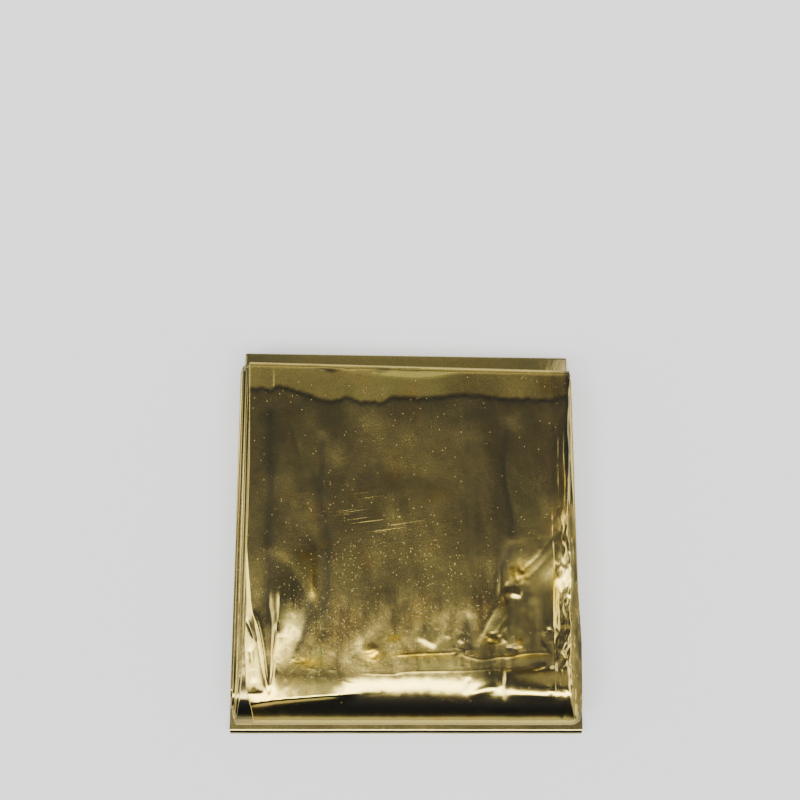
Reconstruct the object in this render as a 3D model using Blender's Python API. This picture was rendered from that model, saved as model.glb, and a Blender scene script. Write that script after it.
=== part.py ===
"""Emergency foil blanket, folded into its packet.

One sheet of thin metallised film, 2.13 m by 1.32 m. It is folded to and fro across its width into a
strip, the strip is doubled, and the doubled strip is folded up into twelve layers. Each layer here is
one bundle of foils. The packet lies on its back: X is its width, Y runs from the rounded spine up to
the open end, and Z goes from the flat underside up to the front panel.
"""

from collections import namedtuple
from math import cos, pi, sin

import bmesh
import bpy

MM = 0.001

# Driving sizes of how the sheet is folded
WIDTH_PLIES = 14
LENGTH_PLIES_IN_A_LAYER = 2
FOIL_WITH_AIR = 0.0357 * MM
LAYER_GAP = 0.3 * MM

LAYERS = 12
LAYER_THICK = WIDTH_PLIES * LENGTH_PLIES_IN_A_LAYER * FOIL_WITH_AIR
LAYER_PITCH = LAYER_THICK + LAYER_GAP
PACKET_THICK = LAYERS * LAYER_THICK + (LAYERS - 1) * LAYER_GAP

# Outline of the packet: it is wider at the spine than at the open end
OPEN_END_HALF_WIDTH = 43.8 * MM
SPINE_HALF_WIDTH = 47.2 * MM
PACKET_HALF_HEIGHT = 50.0 * MM

# The tables below count Y from a line across the packet that lies this far above its middle
TABLE_LINE = 0.55 * MM

# Faceting
POINTS_ALONG_LAYER = 8
POINTS_ROUND_SPINE = 10
POINTS_ROUND_FOLD = 4

# The packet's weight flattens the lower half of each bend, so it turns in this share of the length
LOWER_BEND_SHARE = 0.5

# The layers from the underside up, in mm: where the top fold or free edge lies, how much that edge
# falls from left to right, and how far the side edges stand in from the outline
Layer = namedtuple("Layer", "open_end fall left_in right_in")
LAYER_TABLE = (
    Layer(50.2, 1.3, 0.9, 1.0),
    Layer(46.9, 1.0, 0.0, 0.0),
    Layer(46.9, 1.0, 0.6, 0.4),
    Layer(47.4, 1.6, 0.2, 0.9),
    Layer(47.4, 1.6, 0.9, 0.2),
    Layer(46.3, 2.0, 0.1, 0.7),
    Layer(46.3, 2.0, 0.7, 0.1),
    Layer(45.8, 2.0, 0.2, 0.8),
    Layer(47.1, 2.2, 0.8, 2.0),
    Layer(47.1, 2.2, 1.6, 3.2),
    Layer(48.2, 2.4, 2.2, 4.8),
    Layer(48.2, 2.4, 3.0, 6.4),
)

# The folds in the order of the sheet, in mm: from one layer to another, how low the fold's outside
# reaches at the spine side, and how long its bend is. At the open end only the layers are named
Fold = namedtuple("Fold", "start end low bend")
FOLD_TABLE = (
    Fold(1, 2, -51.3, 0.65),
    Fold(2, 3, None, 0.65),
    Fold(3, 12, -48.2, 13.0),
    Fold(12, 11, None, 0.65),
    Fold(11, 4, -46.8, 11.3),
    Fold(4, 5, None, 0.65),
    Fold(5, 10, -45.4, 9.4),
    Fold(10, 9, None, 0.65),
    Fold(9, 6, -43.9, 6.0),
    Fold(6, 7, None, 0.65),
    Fold(7, 8, -40.0, 0.7),
)

# Columns across the width, as shares of the half width: the sides, and the troughs and crests between
COLUMNS = (-1.0, -0.93, -0.81, -0.67, -0.53, -0.38, -0.12, 0.14, 0.36, 0.5, 0.61, 0.74, 0.87, 0.95, 1.0)

# Soft troughs in the front panel, in mm: where each runs at the open end and at the spine end, its
# two ends in Y, its half width and its depth
Trough = namedtuple("Trough", "x_open x_spine y_spine y_open half_width depth")
TROUGH_TABLE = (
    Trough(-36.0, -35.0, -14.0, 38.0, 4.0, 0.4),
    Trough(-24.5, -22.0, -22.0, 30.0, 4.0, 0.35),
    Trough(26.5, 27.5, -14.0, 30.0, 4.5, 0.4),
    Trough(43.0, 20.0, -28.0, 8.0, 4.0, 0.35),
)
TROUGH_FADE = 8.0 * MM

# The front panel falls away at its long sides, most on the right, in a crown toward the spine, and
# above the line of its hem
LEFT_SHOULDER_WIDTH = 4.0 * MM
LEFT_SHOULDER_DROP = 0.25 * MM
RIGHT_SHOULDER_WIDTH = 7.0 * MM
RIGHT_SHOULDER_DROP = 1.3 * MM
CROWN_START = -2.0 * MM
CROWN_REACH = 40.0 * MM
CROWN_DROP = 0.9 * MM
HEM_START = 40.0 * MM
HEM_SLOPE = 0.12

# A point on the path that the sheet follows: its place, its normal, and how its row is cut
PathPoint = namedtuple("PathPoint", "y z normal_y normal_z fall left_in right_in")

# Colour of the film's outer face
GOLD = (0.62, 0.47, 0.16, 1.0)
GOLD_ROUGHNESS = 0.22


def clear_scene():
    """Removes what the scene held before."""
    for old in list(bpy.data.objects):
        bpy.data.objects.remove(old, do_unlink=True)


def gold_film():
    """The finish of the film's outer face."""
    material = bpy.data.materials.new("gold_film")
    material.use_nodes = True
    shader = material.node_tree.nodes["Principled BSDF"]
    shader.inputs["Base Color"].default_value = GOLD
    shader.inputs["Metallic"].default_value = 1.0
    shader.inputs["Roughness"].default_value = GOLD_ROUGHNESS
    return material


def smooth_step(value):
    """Goes softly from 0 to 1 as the value does."""
    value = min(max(value, 0.0), 1.0)
    return value * value * (3.0 - 2.0 * value)


def mix(first, second, share):
    """The value at this share of the way from the first to the second."""
    return first + (second - first) * share


def layer_middle(number):
    """Height of a layer's middle, with layer 1 on the underside."""
    return LAYER_THICK / 2 + (number - 1) * LAYER_PITCH


def edge_values(number):
    """How a layer's edges are cut: its fall, and how far its sides stand in."""
    row = LAYER_TABLE[number - 1]
    return row.fall * MM, row.left_in * MM, row.right_in * MM


def straight_points(number, y_from, y_to):
    """Path points along a layer, from one end of its flat run to the other."""
    facing = 1.0 if y_to < y_from else -1.0
    points = []
    for step in range(POINTS_ALONG_LAYER):
        y = mix(y_from, y_to, step / (POINTS_ALONG_LAYER - 1))
        points.append(PathPoint(y, layer_middle(number), 0.0, facing, *edge_values(number)))
    return points


def bend_side(fold):
    """Where a fold turns, as the outermost Y of its middle line, and its side: -1 at the spine."""
    if fold.low is None:
        return LAYER_TABLE[fold.start - 1].open_end * MM - LAYER_THICK / 2, 1.0
    return fold.low * MM + LAYER_THICK / 2, -1.0


def bend_reach(fold, is_upper):
    """How long a fold's bend is in its upper or its lower half."""
    eased = fold.low is not None and abs(fold.end - fold.start) > 1 and not is_upper
    return fold.bend * MM * (LOWER_BEND_SHARE if eased else 1.0)


def bend_start(fold, layer):
    """Where a fold's bend leaves one of its two flat layers."""
    tip, side = bend_side(fold)
    return tip - side * bend_reach(fold, layer == max(fold.start, fold.end))


def bend_points(fold, count):
    """Path points round a fold, as two quarters of an ellipse without their ends."""
    tip, side = bend_side(fold)
    first = layer_middle(fold.start)
    second = layer_middle(fold.end)
    middle = (first + second) / 2
    half = (second - first) / 2
    points = []
    for step in range(1, count):
        share = step / count
        angle = share * pi
        z = middle - half * cos(angle)
        reach = bend_reach(fold, z > middle)
        y = tip - side * reach * (1.0 - sin(angle))
        along_y = side * reach * cos(angle)
        along_z = half * sin(angle)
        length = (along_y**2 + along_z**2) ** 0.5
        values = [mix(a, b, share) for a, b in zip(edge_values(fold.start), edge_values(fold.end))]
        points.append(PathPoint(y, z, along_z / length, -along_y / length, *values))
    return points


def sheet_path():
    """The middle line of the folded sheet, from the back panel's free edge to the innermost one."""
    y_here = LAYER_TABLE[0].open_end * MM
    points = []
    for fold in FOLD_TABLE:
        points += straight_points(fold.start, y_here, bend_start(fold, fold.start))
        around = POINTS_ROUND_SPINE if abs(fold.end - fold.start) > 1 else POINTS_ROUND_FOLD
        points += bend_points(fold, around)
        y_here = bend_start(fold, fold.end)
    last = FOLD_TABLE[-1].end
    points += straight_points(last, y_here, LAYER_TABLE[last - 1].open_end * MM)
    return points


def half_width(y):
    """Half the packet's width at this height."""
    share = (y + PACKET_HALF_HEIGHT) / (2 * PACKET_HALF_HEIGHT)
    return mix(SPINE_HALF_WIDTH, OPEN_END_HALF_WIDTH, share)


def trough_dip(trough, x, y):
    """How deep one trough is at a place on the front panel."""
    y_spine = trough.y_spine * MM
    y_open = trough.y_open * MM
    share = (y - y_spine) / (y_open - y_spine)
    middle = mix(trough.x_spine, trough.x_open, share) * MM
    across = 1.0 - smooth_step(abs(x - middle) / (trough.half_width * MM))
    ends = smooth_step((y - y_spine) / TROUGH_FADE + 1) * smooth_step((y_open - y) / TROUGH_FADE + 1)
    return trough.depth * MM * across * ends


def front_dip(x, y):
    """How far the front panel lies below its full height at this place."""
    half = half_width(y)
    left = 1.0 - smooth_step((x + half) / LEFT_SHOULDER_WIDTH)
    right = 1.0 - smooth_step((half - x) / RIGHT_SHOULDER_WIDTH)
    dip = left * LEFT_SHOULDER_DROP + right * RIGHT_SHOULDER_DROP
    dip += CROWN_DROP * (max(CROWN_START - y, 0.0) / CROWN_REACH) ** 2
    dip += HEM_SLOPE * max(y - HEM_START, 0.0)
    return dip + max(trough_dip(trough, x, y) for trough in TROUGH_TABLE)


def place(point, column, side):
    """A corner of the solid: a path point moved half a layer to one side, at one column."""
    y = point.y + side * point.normal_y * LAYER_THICK / 2
    z = point.z + side * point.normal_z * LAYER_THICK / 2
    half = half_width(y)
    x = mix(point.left_in - half, half - point.right_in, (column + 1) / 2)
    z *= 1 - front_dip(x, y) / PACKET_THICK
    toward_open_end = smooth_step((y + PACKET_HALF_HEIGHT) / (2 * PACKET_HALF_HEIGHT))
    y -= point.fall / 2 * (1 + x / half) * toward_open_end
    return x, y + TABLE_LINE, z


def folded_sheet(name, material):
    """The whole folded sheet as one closed solid: its two faces, its cut ends and its sides."""
    mesh = bmesh.new()
    path = sheet_path()
    outer = [[mesh.verts.new(place(p, column, 1)) for column in COLUMNS] for p in path]
    inner = [[mesh.verts.new(place(p, column, -1)) for column in COLUMNS] for p in path]
    last = len(COLUMNS) - 1
    for here in range(len(path) - 1):
        after = here + 1
        for c in range(last):
            mesh.faces.new((outer[here][c], outer[after][c], outer[after][c + 1], outer[here][c + 1]))
            mesh.faces.new((inner[here][c], inner[here][c + 1], inner[after][c + 1], inner[after][c]))
        mesh.faces.new((outer[here][0], inner[here][0], inner[after][0], outer[after][0]))
        mesh.faces.new((outer[here][last], outer[after][last], inner[after][last], inner[here][last]))
    for c in range(last):
        mesh.faces.new((outer[0][c], outer[0][c + 1], inner[0][c + 1], inner[0][c]))
        mesh.faces.new((outer[-1][c], inner[-1][c], inner[-1][c + 1], outer[-1][c + 1]))
    bmesh.ops.recalc_face_normals(mesh, faces=mesh.faces)
    bmesh.ops.triangulate(mesh, faces=mesh.faces)
    data = bpy.data.meshes.new(name)
    mesh.to_mesh(data)
    mesh.free()
    data.materials.append(material)
    piece = bpy.data.objects.new(name, data)
    bpy.context.scene.collection.objects.link(piece)
    data.shade_smooth()
    data.set_sharp_from_angle(angle=pi / 6)
    return piece


clear_scene()
folded_sheet("foil_blanket", gold_film())
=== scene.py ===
"""Emergency foil blanket, folded into its packet, gold side out.

The sheet is 2.13 m by 1.32 m of thin metallised film, gold on one face and silver on the other. It is
folded over and over across its width into fourteen plies, the strip is doubled, and the doubled strip
is folded to and fro in twelve layers. X is the packet's width, Y runs from its rounded spine to its
open end, and Z goes up out of the front panel. Three pieces make it: every ply of the sheet, and finer
meshes of the two outermost plies, the front panel with its spine, and the back panel.
"""

from collections import namedtuple
from math import cos, pi, radians, sin

import bpy
import numpy as np
from bpy.props import FloatProperty, FloatVectorProperty, IntProperty, PointerProperty
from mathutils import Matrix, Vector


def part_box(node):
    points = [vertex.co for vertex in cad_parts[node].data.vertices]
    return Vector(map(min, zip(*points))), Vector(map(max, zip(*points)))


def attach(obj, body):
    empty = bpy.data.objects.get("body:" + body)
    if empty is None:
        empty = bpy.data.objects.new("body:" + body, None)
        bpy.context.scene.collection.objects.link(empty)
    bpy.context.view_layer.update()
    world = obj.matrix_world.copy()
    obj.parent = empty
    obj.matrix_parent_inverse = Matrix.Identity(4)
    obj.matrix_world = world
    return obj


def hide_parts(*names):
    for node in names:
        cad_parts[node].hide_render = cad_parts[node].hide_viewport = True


bl_info = {
    "name": "Folded foil blanket",
    "version": (1, 0, 0),
    "blender": (4, 5, 0),
    "location": "View3D > Sidebar > Foil blanket",
    "description": "Builds a folded emergency blanket of gold and silver film",
    "category": "Add Mesh",
}

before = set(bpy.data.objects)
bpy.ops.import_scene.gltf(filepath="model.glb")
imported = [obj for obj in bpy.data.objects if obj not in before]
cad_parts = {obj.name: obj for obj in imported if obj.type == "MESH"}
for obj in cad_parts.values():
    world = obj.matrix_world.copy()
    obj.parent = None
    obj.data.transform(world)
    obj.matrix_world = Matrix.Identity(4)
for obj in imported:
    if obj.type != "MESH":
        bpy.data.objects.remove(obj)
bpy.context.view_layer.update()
NODE = "foil_blanket"
PACKET_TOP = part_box(NODE)[1][2]

MM = 0.001
LAYERS = 12
SEED = 7
NOISE_CELLS = 257


def table_rows(kind, *values):
    """A table's rows, each with its named columns."""
    return tuple(kind(*row) for row in values)


# Outline of the packet, as in the solid: wider at the spine than at the open end
HALF_HEIGHT = 50.0 * MM
SPINE_HALF_WIDTH = 47.2 * MM
OPEN_END_HALF_WIDTH = 43.8 * MM

# The tables below count Y from a line across the packet that lies this far above its middle
TABLE_LINE = 0.55 * MM

# The layers from the underside up, in mm: where the top fold or free edge lies, how much that edge
# falls from left to right, and how far the side edges stand in from the outline
Layer = namedtuple("Layer", "open_end fall left_in right_in")
LAYER_TABLE = table_rows(
    Layer,
    (50.2, 1.3, 0.9, 1.0),
    (46.9, 1.0, 0.0, 0.0),
    (46.9, 1.0, 0.6, 0.4),
    (47.4, 1.6, 0.2, 0.9),
    (47.4, 1.6, 0.9, 0.2),
    (46.3, 2.0, 0.1, 0.7),
    (46.3, 2.0, 0.7, 0.1),
    (45.8, 2.0, 0.2, 0.8),
    (47.1, 2.2, 0.8, 2.0),
    (47.1, 2.2, 1.6, 3.2),
    (48.2, 2.4, 2.2, 4.8),
    (48.2, 2.4, 3.0, 6.4),
)

# The folds in the order of the sheet, in mm: from one layer to another, how low the fold's outside
# reaches at the spine side, and how long its bend is. At the open end only the layers are named
Fold = namedtuple("Fold", "start end low bend")
FOLD_TABLE = table_rows(
    Fold,
    (1, 2, -51.3, 0.65),
    (2, 3, None, 0.65),
    (3, 12, -48.2, 13.0),
    (12, 11, None, 0.65),
    (11, 4, -46.8, 11.3),
    (4, 5, None, 0.65),
    (5, 10, -45.4, 9.4),
    (10, 9, None, 0.65),
    (9, 6, -43.9, 6.0),
    (6, 7, None, 0.65),
    (7, 8, -40.0, 0.7),
)
BACK_FOLD = FOLD_TABLE[0]
SPINE_FOLD = FOLD_TABLE[2]
FRONT_FOLD = FOLD_TABLE[3]
LOWER_BEND_SHARE = 0.5

# A fade is given as the place where it starts and how far on it is full, in mm; it may run backwards.
# The plies lie pressed down under the front panel, inside these fades from its four edges
PANEL_PRESS = 0.25 * MM
PRESS_LEFT = (3, 1)
PRESS_RIGHT = (7, 3)
PRESS_LOW = (-44, 6)
PRESS_HIGH = (47, -3)

# Soft troughs in the front panel, in mm: where each runs at the open end and at the spine end, its
# two ends in Y, its half width and its depth
Trough = namedtuple("Trough", "x_open x_spine y_spine y_open half_width depth")
TROUGH_TABLE = table_rows(
    Trough,
    (-36.0, -35.0, -14.0, 38.0, 4.0, 0.05),
    (-24.5, -22.0, -22.0, 30.0, 4.0, 0.05),
    (26.5, 27.5, -14.0, 30.0, 4.5, 0.05),
    (43.0, 20.0, -28.0, 8.0, 4.0, 0.06),
)
TROUGH_FADE = 8.0 * MM
LEFT_SHOULDER_WIDTH = 4.0 * MM
LEFT_SHOULDER_DROP = 0.12 * MM
RIGHT_SHOULDER_WIDTH = 6.2 * MM
RIGHT_SHOULDER_DROP = 0.08 * MM

# Creases of the front panel, in mm on the panel. A ridge has a positive height and a
# trough a negative one. Each side of it, left and right of the way that its points go, has its own
# half width, and a narrow side is steep. A sharp crease is folded to an edge, a soft one is rounded.
# Both taper off at their ends: over a set length, or over a share of a wide crease's reach, but never
# over more than a share of the crease's length
Crease = namedtuple("Crease", "height left right sharp points")
EDGE_ROUND = 0.12 * MM
SHARP_FALL = 1.4
CURVE_STEPS = 5
CREASE_REACH = 4.0
CREASE_TAPER = 4.0 * MM
WIDE_TAPER = 0.65
LONGEST_TAPER = 1 / 3
END_START = 0.15
# Painted shade in the sharp troughs, full at the given depth
TROUGH_SHADE = 0.55
FULL_SHADE_DEPTH = 0.09 * MM


def sharp(height, left, right, *points):
    """A crease that is folded to an edge."""
    return Crease(height, left, right, True, points)


def soft(height, left, right, *points):
    """A crease that is rounded."""
    return Crease(height, left, right, False, points)


UPPER_FACE = (
    sharp(-0.10, 1.9, 1.7, (-35.6, 39), (-35.9, 30), (-35.6, 20), (-35.9, 12), (-36.4, 4), (-36.2, -2)),
    soft(0.014, 1.6, 1.6, (-39.0, 36), (-38.8, 20), (-38.6, 4)),
    sharp(-0.030, 1.2, 1.2, (-30.9, 34), (-28.9, 27), (-27.4, 20), (-27.2, 9)),
    soft(0.018, 1.6, 1.6, (-32.0, 30), (-31.2, 18), (-30.8, 5)),
    sharp(-0.085, 1.6, 1.4, (-22.4, 31), (-22.2, 23), (-22.6, 16), (-21.2, 7), (-20.7, 0)),
    soft(0.016, 1.6, 1.6, (-25.2, 24), (-24.8, 12), (-24.3, 2)),
    soft(-0.016, 2.6, 2.6, (-16.0, 24), (-15.8, 14), (-16.2, 4)),
    soft(0.014, 3.0, 3.0, (-8.0, 30), (-7.0, 12), (-8.0, -8)),
    soft(-0.014, 2.6, 2.6, (2.0, 30), (3.0, 10), (2.0, -8)),
    sharp(-0.030, 2.0, 1.8, (16.2, 40), (16.5, 26), (16.3, 14), (16.8, 0), (16.6, -14)),
    soft(0.014, 2.0, 2.0, (12.6, 22), (13.2, 10), (13.0, -6)),
    sharp(-0.075, 1.7, 1.6, (27.2, 36), (26.3, 28), (26.1, 20), (27.5, 13), (28.2, 8), (28.0, 2)),
    soft(0.024, 1.5, 1.5, (31.6, 14), (32.4, 8), (32.2, 1)),
    sharp(-0.026, 1.4, 1.4, (34.6, 16), (35.4, 7), (34.6, 0)),
    soft(0.014, 1.8, 1.8, (22.5, 28), (22.2, 16), (22.8, 4)),
    soft(0.016, 1.6, 1.6, (34.0, 34), (34.2, 24), (33.8, 16)),
)
LOWER_LEFT = (
    sharp(-0.085, 1.7, 1.7, (-36.2, 0), (-36.0, -5.5), (-36.6, -13.6), (-35.6, -20.4), (-36.0, -28.1)),
    soft(-0.070, 1.5, 2.2, (-34.6, -2.0), (-31.4, -5.4), (-28.6, -9.6), (-26.2, -14.6)),
    sharp(0.30, 0.9, 0.7, (-34.0, -20.4), (-34.3, -24.7), (-34.8, -28.1), (-35.3, -34.2), (-36.2, -40.1)),
    sharp(0.30, 0.9, 0.9, (-40.8, -17.7), (-39.4, -20.4), (-38.5, -24.1), (-37.7, -29.1), (-36.9, -35.8),
          (-36.3, -40.1)),
    soft(0.040, 0.6, 0.5, (-33.3, -11.5), (-33.4, -17), (-33.6, -23)),
    soft(0.036, 0.6, 0.6, (-31.6, -12.5), (-31.6, -18), (-32.0, -24.5)),
    soft(0.034, 0.6, 0.5, (-29.9, -13.2), (-30.1, -19), (-30.7, -25.5)),
    soft(0.030, 0.6, 0.6, (-27.9, -15.0), (-28.4, -20), (-29.2, -24)),
    sharp(-0.13, 1.9, 1.7, (-24.8, -12.0), (-25.9, -18.0), (-27.6, -24.1), (-29.6, -29.1)),
    sharp(0.085, 0.7, 0.45, (-24.4, 0.4), (-24.8, -6.6), (-24.4, -14.0)),
    sharp(-0.085, 1.5, 1.7, (-20.7, 3), (-20.9, -7.2), (-21.5, -14.0), (-21.6, -20), (-21.9, -26)),
    sharp(-0.045, 1.4, 1.4, (-16.4, -13.3), (-16.8, -17.7), (-17.8, -25.7), (-18.5, -32.5)),
    soft(0.030, 1.4, 1.4, (-19.2, -17), (-19.6, -24), (-20.2, -31)),
    soft(0.030, 1.4, 1.4, (-23.6, -17), (-24.2, -24), (-24.6, -32)),
    soft(0.075, 4.2, 3.4, (-3.0, -10.5), (-8.6, -19.5), (-14.6, -28.0)),
    soft(-0.030, 1.8, 1.8, (0.0, -12.5), (-5.4, -20.7), (-11.8, -26.8)),
    soft(0.024, 1.2, 1.2, (-13.4, -21), (-14.4, -27), (-14.8, -32.5)),
    sharp(0.020, 0.3, 0.3, (-9.9, -27.0), (-9.8, -30.8)),
    sharp(0.020, 0.3, 0.3, (-8.9, -26.8), (-8.6, -31.2)),
    sharp(0.020, 0.3, 0.3, (-7.7, -27.2), (-7.4, -30.4)),
    sharp(-0.016, 0.3, 0.3, (-30.2, -30.4), (-28.6, -31.2), (-27.0, -30.6), (-26.2, -30.2)),
    sharp(0.012, 0.3, 0.3, (-26.6, -32.0), (-25.2, -32.8), (-23.6, -32.6)),
    sharp(0.014, 0.3, 0.3, (-20.9, -33.1), (-18.2, -33.2)),
    sharp(0.014, 0.3, 0.3, (-17.9, -35.6), (-15.0, -36.6), (-12.4, -37.2)),
    sharp(-0.20, 0.6, 0.6, (-42.3, -19.4), (-41.0, -22.4), (-39.7, -25.8)),
    soft(-0.10, 0.7, 0.7, (-41.0, -27.0), (-40.7, -32.4)),
)
LOWER_RIGHT = (
    sharp(-0.11, 1.9, 1.8, (28.0, 3), (27.4, 0.8), (26.4, -2.2), (25.4, -5.5), (25.1, -10), (24.3, -14.6)),
    soft(0.040, 1.2, 1.2, (31.4, 6), (30.6, 0), (29.2, -5)),
    sharp(-0.028, 0.7, 0.7, (42.5, 6.8), (38.6, 2.9), (34.7, -2.6), (31.3, -5.6), (28.6, -8.6)),
    sharp(-0.024, 0.6, 0.6, (40.0, 0.4), (36.6, -3.6), (33.0, -7.4), (30.6, -9.6)),
    sharp(0.020, 0.4, 0.4, (41.6, 4.6), (38.0, 0.6), (35.2, -3.4)),
    sharp(0.040, 0.3, 0.3, (28.2, -5.4), (27.8, -8.4)),
    sharp(0.040, 0.3, 0.3, (29.5, -5.0), (29.3, -8.6)),
    sharp(0.040, 0.3, 0.3, (30.7, -6.0), (30.9, -9.2)),
    sharp(0.035, 0.3, 0.3, (32.1, -6.4), (32.0, -9.8)),
    sharp(-0.10, 1.1, 1.1, (27.4, -8.8), (26.0, -12.3), (26.8, -15.8)),
    soft(0.13, 1.4, 0.9, (27.2, -11.6), (28.8, -12.3), (31.0, -12.9)),
    sharp(0.070, 0.5, 0.4, (24.4, -14.0), (24.0, -15.6), (22.0, -19.0), (20.3, -22.4), (19.0, -25.8)),
    sharp(0.045, 0.4, 0.4, (26.4, -15.9), (26.6, -17.4), (25.2, -19.6), (23.4, -22.6)),
    soft(0.085, 0.5, 0.6, (26.7, -20.2), (25.2, -23.0), (26.5, -25.9)),
    soft(0.045, 0.4, 0.4, (30.2, -24.4), (30.2, -27.2)),
    soft(0.095, 3.2, 1.1, (2.6, -23.6), (5.5, -25.0), (8.6, -26.6)),
    soft(0.030, 1.6, 0.5, (10.0, -23.6), (12.0, -24.0)),
    soft(0.045, 1.6, 0.5, (13.7, -24.5), (15.4, -25.8)),
    sharp(-0.10, 1.6, 1.6, (15.8, -16.5), (16.9, -22.4), (17.3, -29.0)),
    sharp(-0.070, 1.2, 1.2, (26.2, -27.2), (28.0, -27.2), (29.8, -27.9)),
    sharp(0.040, 0.4, 0.4, (21.6, -23.9), (22.6, -25.0), (23.4, -26.6)),
    sharp(0.035, 0.4, 0.4, (23.0, -23.6), (24.2, -25.2)),
    soft(-0.030, 1.8, 1.8, (33.0, -8), (33.6, -16), (33.4, -24)),
    soft(0.026, 1.6, 1.6, (36.0, -8), (36.4, -18), (36.2, -26)),
    soft(0.030, 2.0, 2.0, (9.6, -6), (9.0, -14), (8.6, -21)),
    soft(-0.030, 1.8, 1.8, (20.2, -2), (20.2, -10), (19.6, -16)),
)
STRIP_LINES = (
    sharp(0.050, 0.25, 0.25, (41.2, 3.0), (41.0, -6.0), (41.3, -14.0), (41.2, -21.0)),
    sharp(0.060, 0.25, 0.25, (42.9, 7.0), (42.3, 4.2), (43.4, 2.4), (43.0, 0.4), (43.9, -2.0),
          (43.3, -4.2), (44.2, -6.6), (43.4, -9.2)),
    sharp(0.060, 0.25, 0.25, (43.4, -9.2), (42.7, -12.0), (43.8, -13.6), (43.0, -16.2), (44.1, -18.6),
          (43.7, -22.0), (42.8, -25.0), (44.0, -28.0)),
    sharp(0.060, 0.25, 0.25, (44.0, -28.0), (43.1, -30.6), (44.3, -33.0), (43.4, -36.2)),
    sharp(0.055, 0.25, 0.25, (40.2, 9.5), (41.5, 6.0), (40.8, 2.6), (42.2, 0.2), (41.6, -2.4),
          (42.6, -4.6)),
    soft(0.03, 0.5, 0.4, (41.5, -4.8), (42.2, -5.4), (42.8, -6.2)),
    soft(0.05, 0.4, 0.4, (42.0, -14.2), (42.4, -15.2)),
    sharp(0.055, 0.25, 0.25, (41.5, -22.4), (42.5, -24.8), (41.3, -27.4), (42.5, -30.2), (41.1, -33.2),
          (42.0, -36.6)),
    sharp(0.045, 0.25, 0.25, (45.0, -4.0), (44.9, -12.0), (45.4, -20.0), (45.2, -28.0)),
    sharp(0.10, 0.3, 0.3, (44.9, -3.0), (45.6, -6.5), (45.0, -10.0), (45.9, -14.0), (45.3, -18.0),
          (46.1, -22.0)),
    sharp(0.10, 0.3, 0.3, (45.3, -20.0), (46.2, -24.0), (45.4, -27.5), (46.3, -31.5), (45.6, -35.0)),
    sharp(0.040, 0.25, 0.25, (41.6, 34.0), (41.4, 26.0), (41.8, 18.0), (41.5, 11.0)),
    sharp(0.030, 0.25, 0.25, (40.0, 32.0), (39.9, 22.0), (40.2, 13.0)),
)
BOTTOM_LINES = (
    sharp(0.019, 0.4, 0.26, (-3.6, -29.3), (3.5, -28.8), (11.9, -28.4), (14.2, -27.5), (15.3, -29.1),
          (20.0, -30.3), (24.7, -29.6), (27.0, -29.6), (32.1, -28.6), (39.2, -28.4)),
    sharp(0.012, 0.35, 0.22, (-12.1, -34.0), (-3.7, -34.3), (0.4, -33.6), (15.3, -33.3), (23.3, -32.8),
          (27.7, -33.0), (33.1, -32.1), (37.1, -31.1)),
    soft(0.085, 0.9, 0.6, (33.1, -32.9), (35.4, -32.4), (37.4, -31.6)),
    sharp(-0.10, 0.5, 0.5, (16.9, -34.9), (16.1, -36.9), (15.5, -39.6)),
    sharp(0.030, 0.3, 0.3, (15.0, -31.2), (14.9, -35.4)),
    sharp(-0.14, 0.6, 0.6, (27.0, -32.0), (26.7, -35.8), (26.2, -38.5), (26.4, -42.5)),
    soft(0.08, 0.5, 0.5, (25.3, -34.5), (25.2, -38.5)),
    soft(0.12, 0.9, 1.4, (16.6, -40.2), (19.3, -38.9), (22.7, -37.8), (24.4, -38.8)),
    sharp(0.10, 0.5, 0.5, (37.6, -36.8), (38.6, -39.6)),
    sharp(0.82, 5.0, 1.5, (-46.0, -43.2), (-36.5, -41.4), (-29.0, -40.6), (-21.4, -40.0), (-12.0, -39.5)),
    soft(0.13, 3.4, 1.3, (26.0, -39.2), (32.0, -39.4), (40.5, -40.0)),
)
CREASES = UPPER_FACE + LOWER_LEFT + LOWER_RIGHT + STRIP_LINES + BOTTOM_LINES

# Soft swellings of the front panel, in mm: their highest point, how far they reach to each side before
# they have sunk to a third, the lean of their long way to the left for each mm up, and their height
Pillow = namedtuple("Pillow", "x y left right up down lean height")
PILLOW_TABLE = table_rows(
    Pillow,
    (-31.2, -15.5, 4.4, 4.4, 7.0, 10.5, -0.13, 0.58),
    (-8.9, -27.4, 1.6, 1.6, 1.2, 1.8, 0.0, 0.08),
    (-17.5, -24.0, 8.0, 12.0, 10.0, 11.0, 0.0, 0.09),
    (2.0, -20.0, 12.0, 12.0, 12.0, 14.0, 0.0, 0.05),
    (-33.0, 24.0, 5.0, 6.0, 14.0, 14.0, 0.0, 0.05),
    (33.0, 26.0, 5.0, 5.0, 12.0, 12.0, 0.0, 0.05),
)

# Spots of painted reflection, where the film faces itself in a crease and its gold is painted deeper, in
# mm: middle and half size
ReflectionSpot = namedtuple("ReflectionSpot", "x y half_x half_y")
REFLECTION_SPOTS = table_rows(
    ReflectionSpot,
    (-24.4, -8.0, 0.8, 7.5), (-26.8, -3.0, 1.6, 2.0), (-8.9, -29.0, 2.2, 2.4), (-3.2, -24.6, 1.8, 1.2),
    (4.0, -29.0, 9.0, 0.8), (29.8, -6.6, 3.0, 2.4), (22.8, -25.0, 2.2, 1.6), (30.1, -25.8, 0.8, 1.8),
    (30.0, -29.2, 9.0, 0.6), (32.0, -33.2, 6.0, 0.8), (-26.0, -31.0, 4.0, 1.4), (-21.5, 0.5, 1.2, 1.2),
    (26.0, -12.5, 1.0, 5.0), (41.6, 19.0, 0.9, 5.0), (39.4, -12.0, 1.0, 7.0),
)

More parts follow.
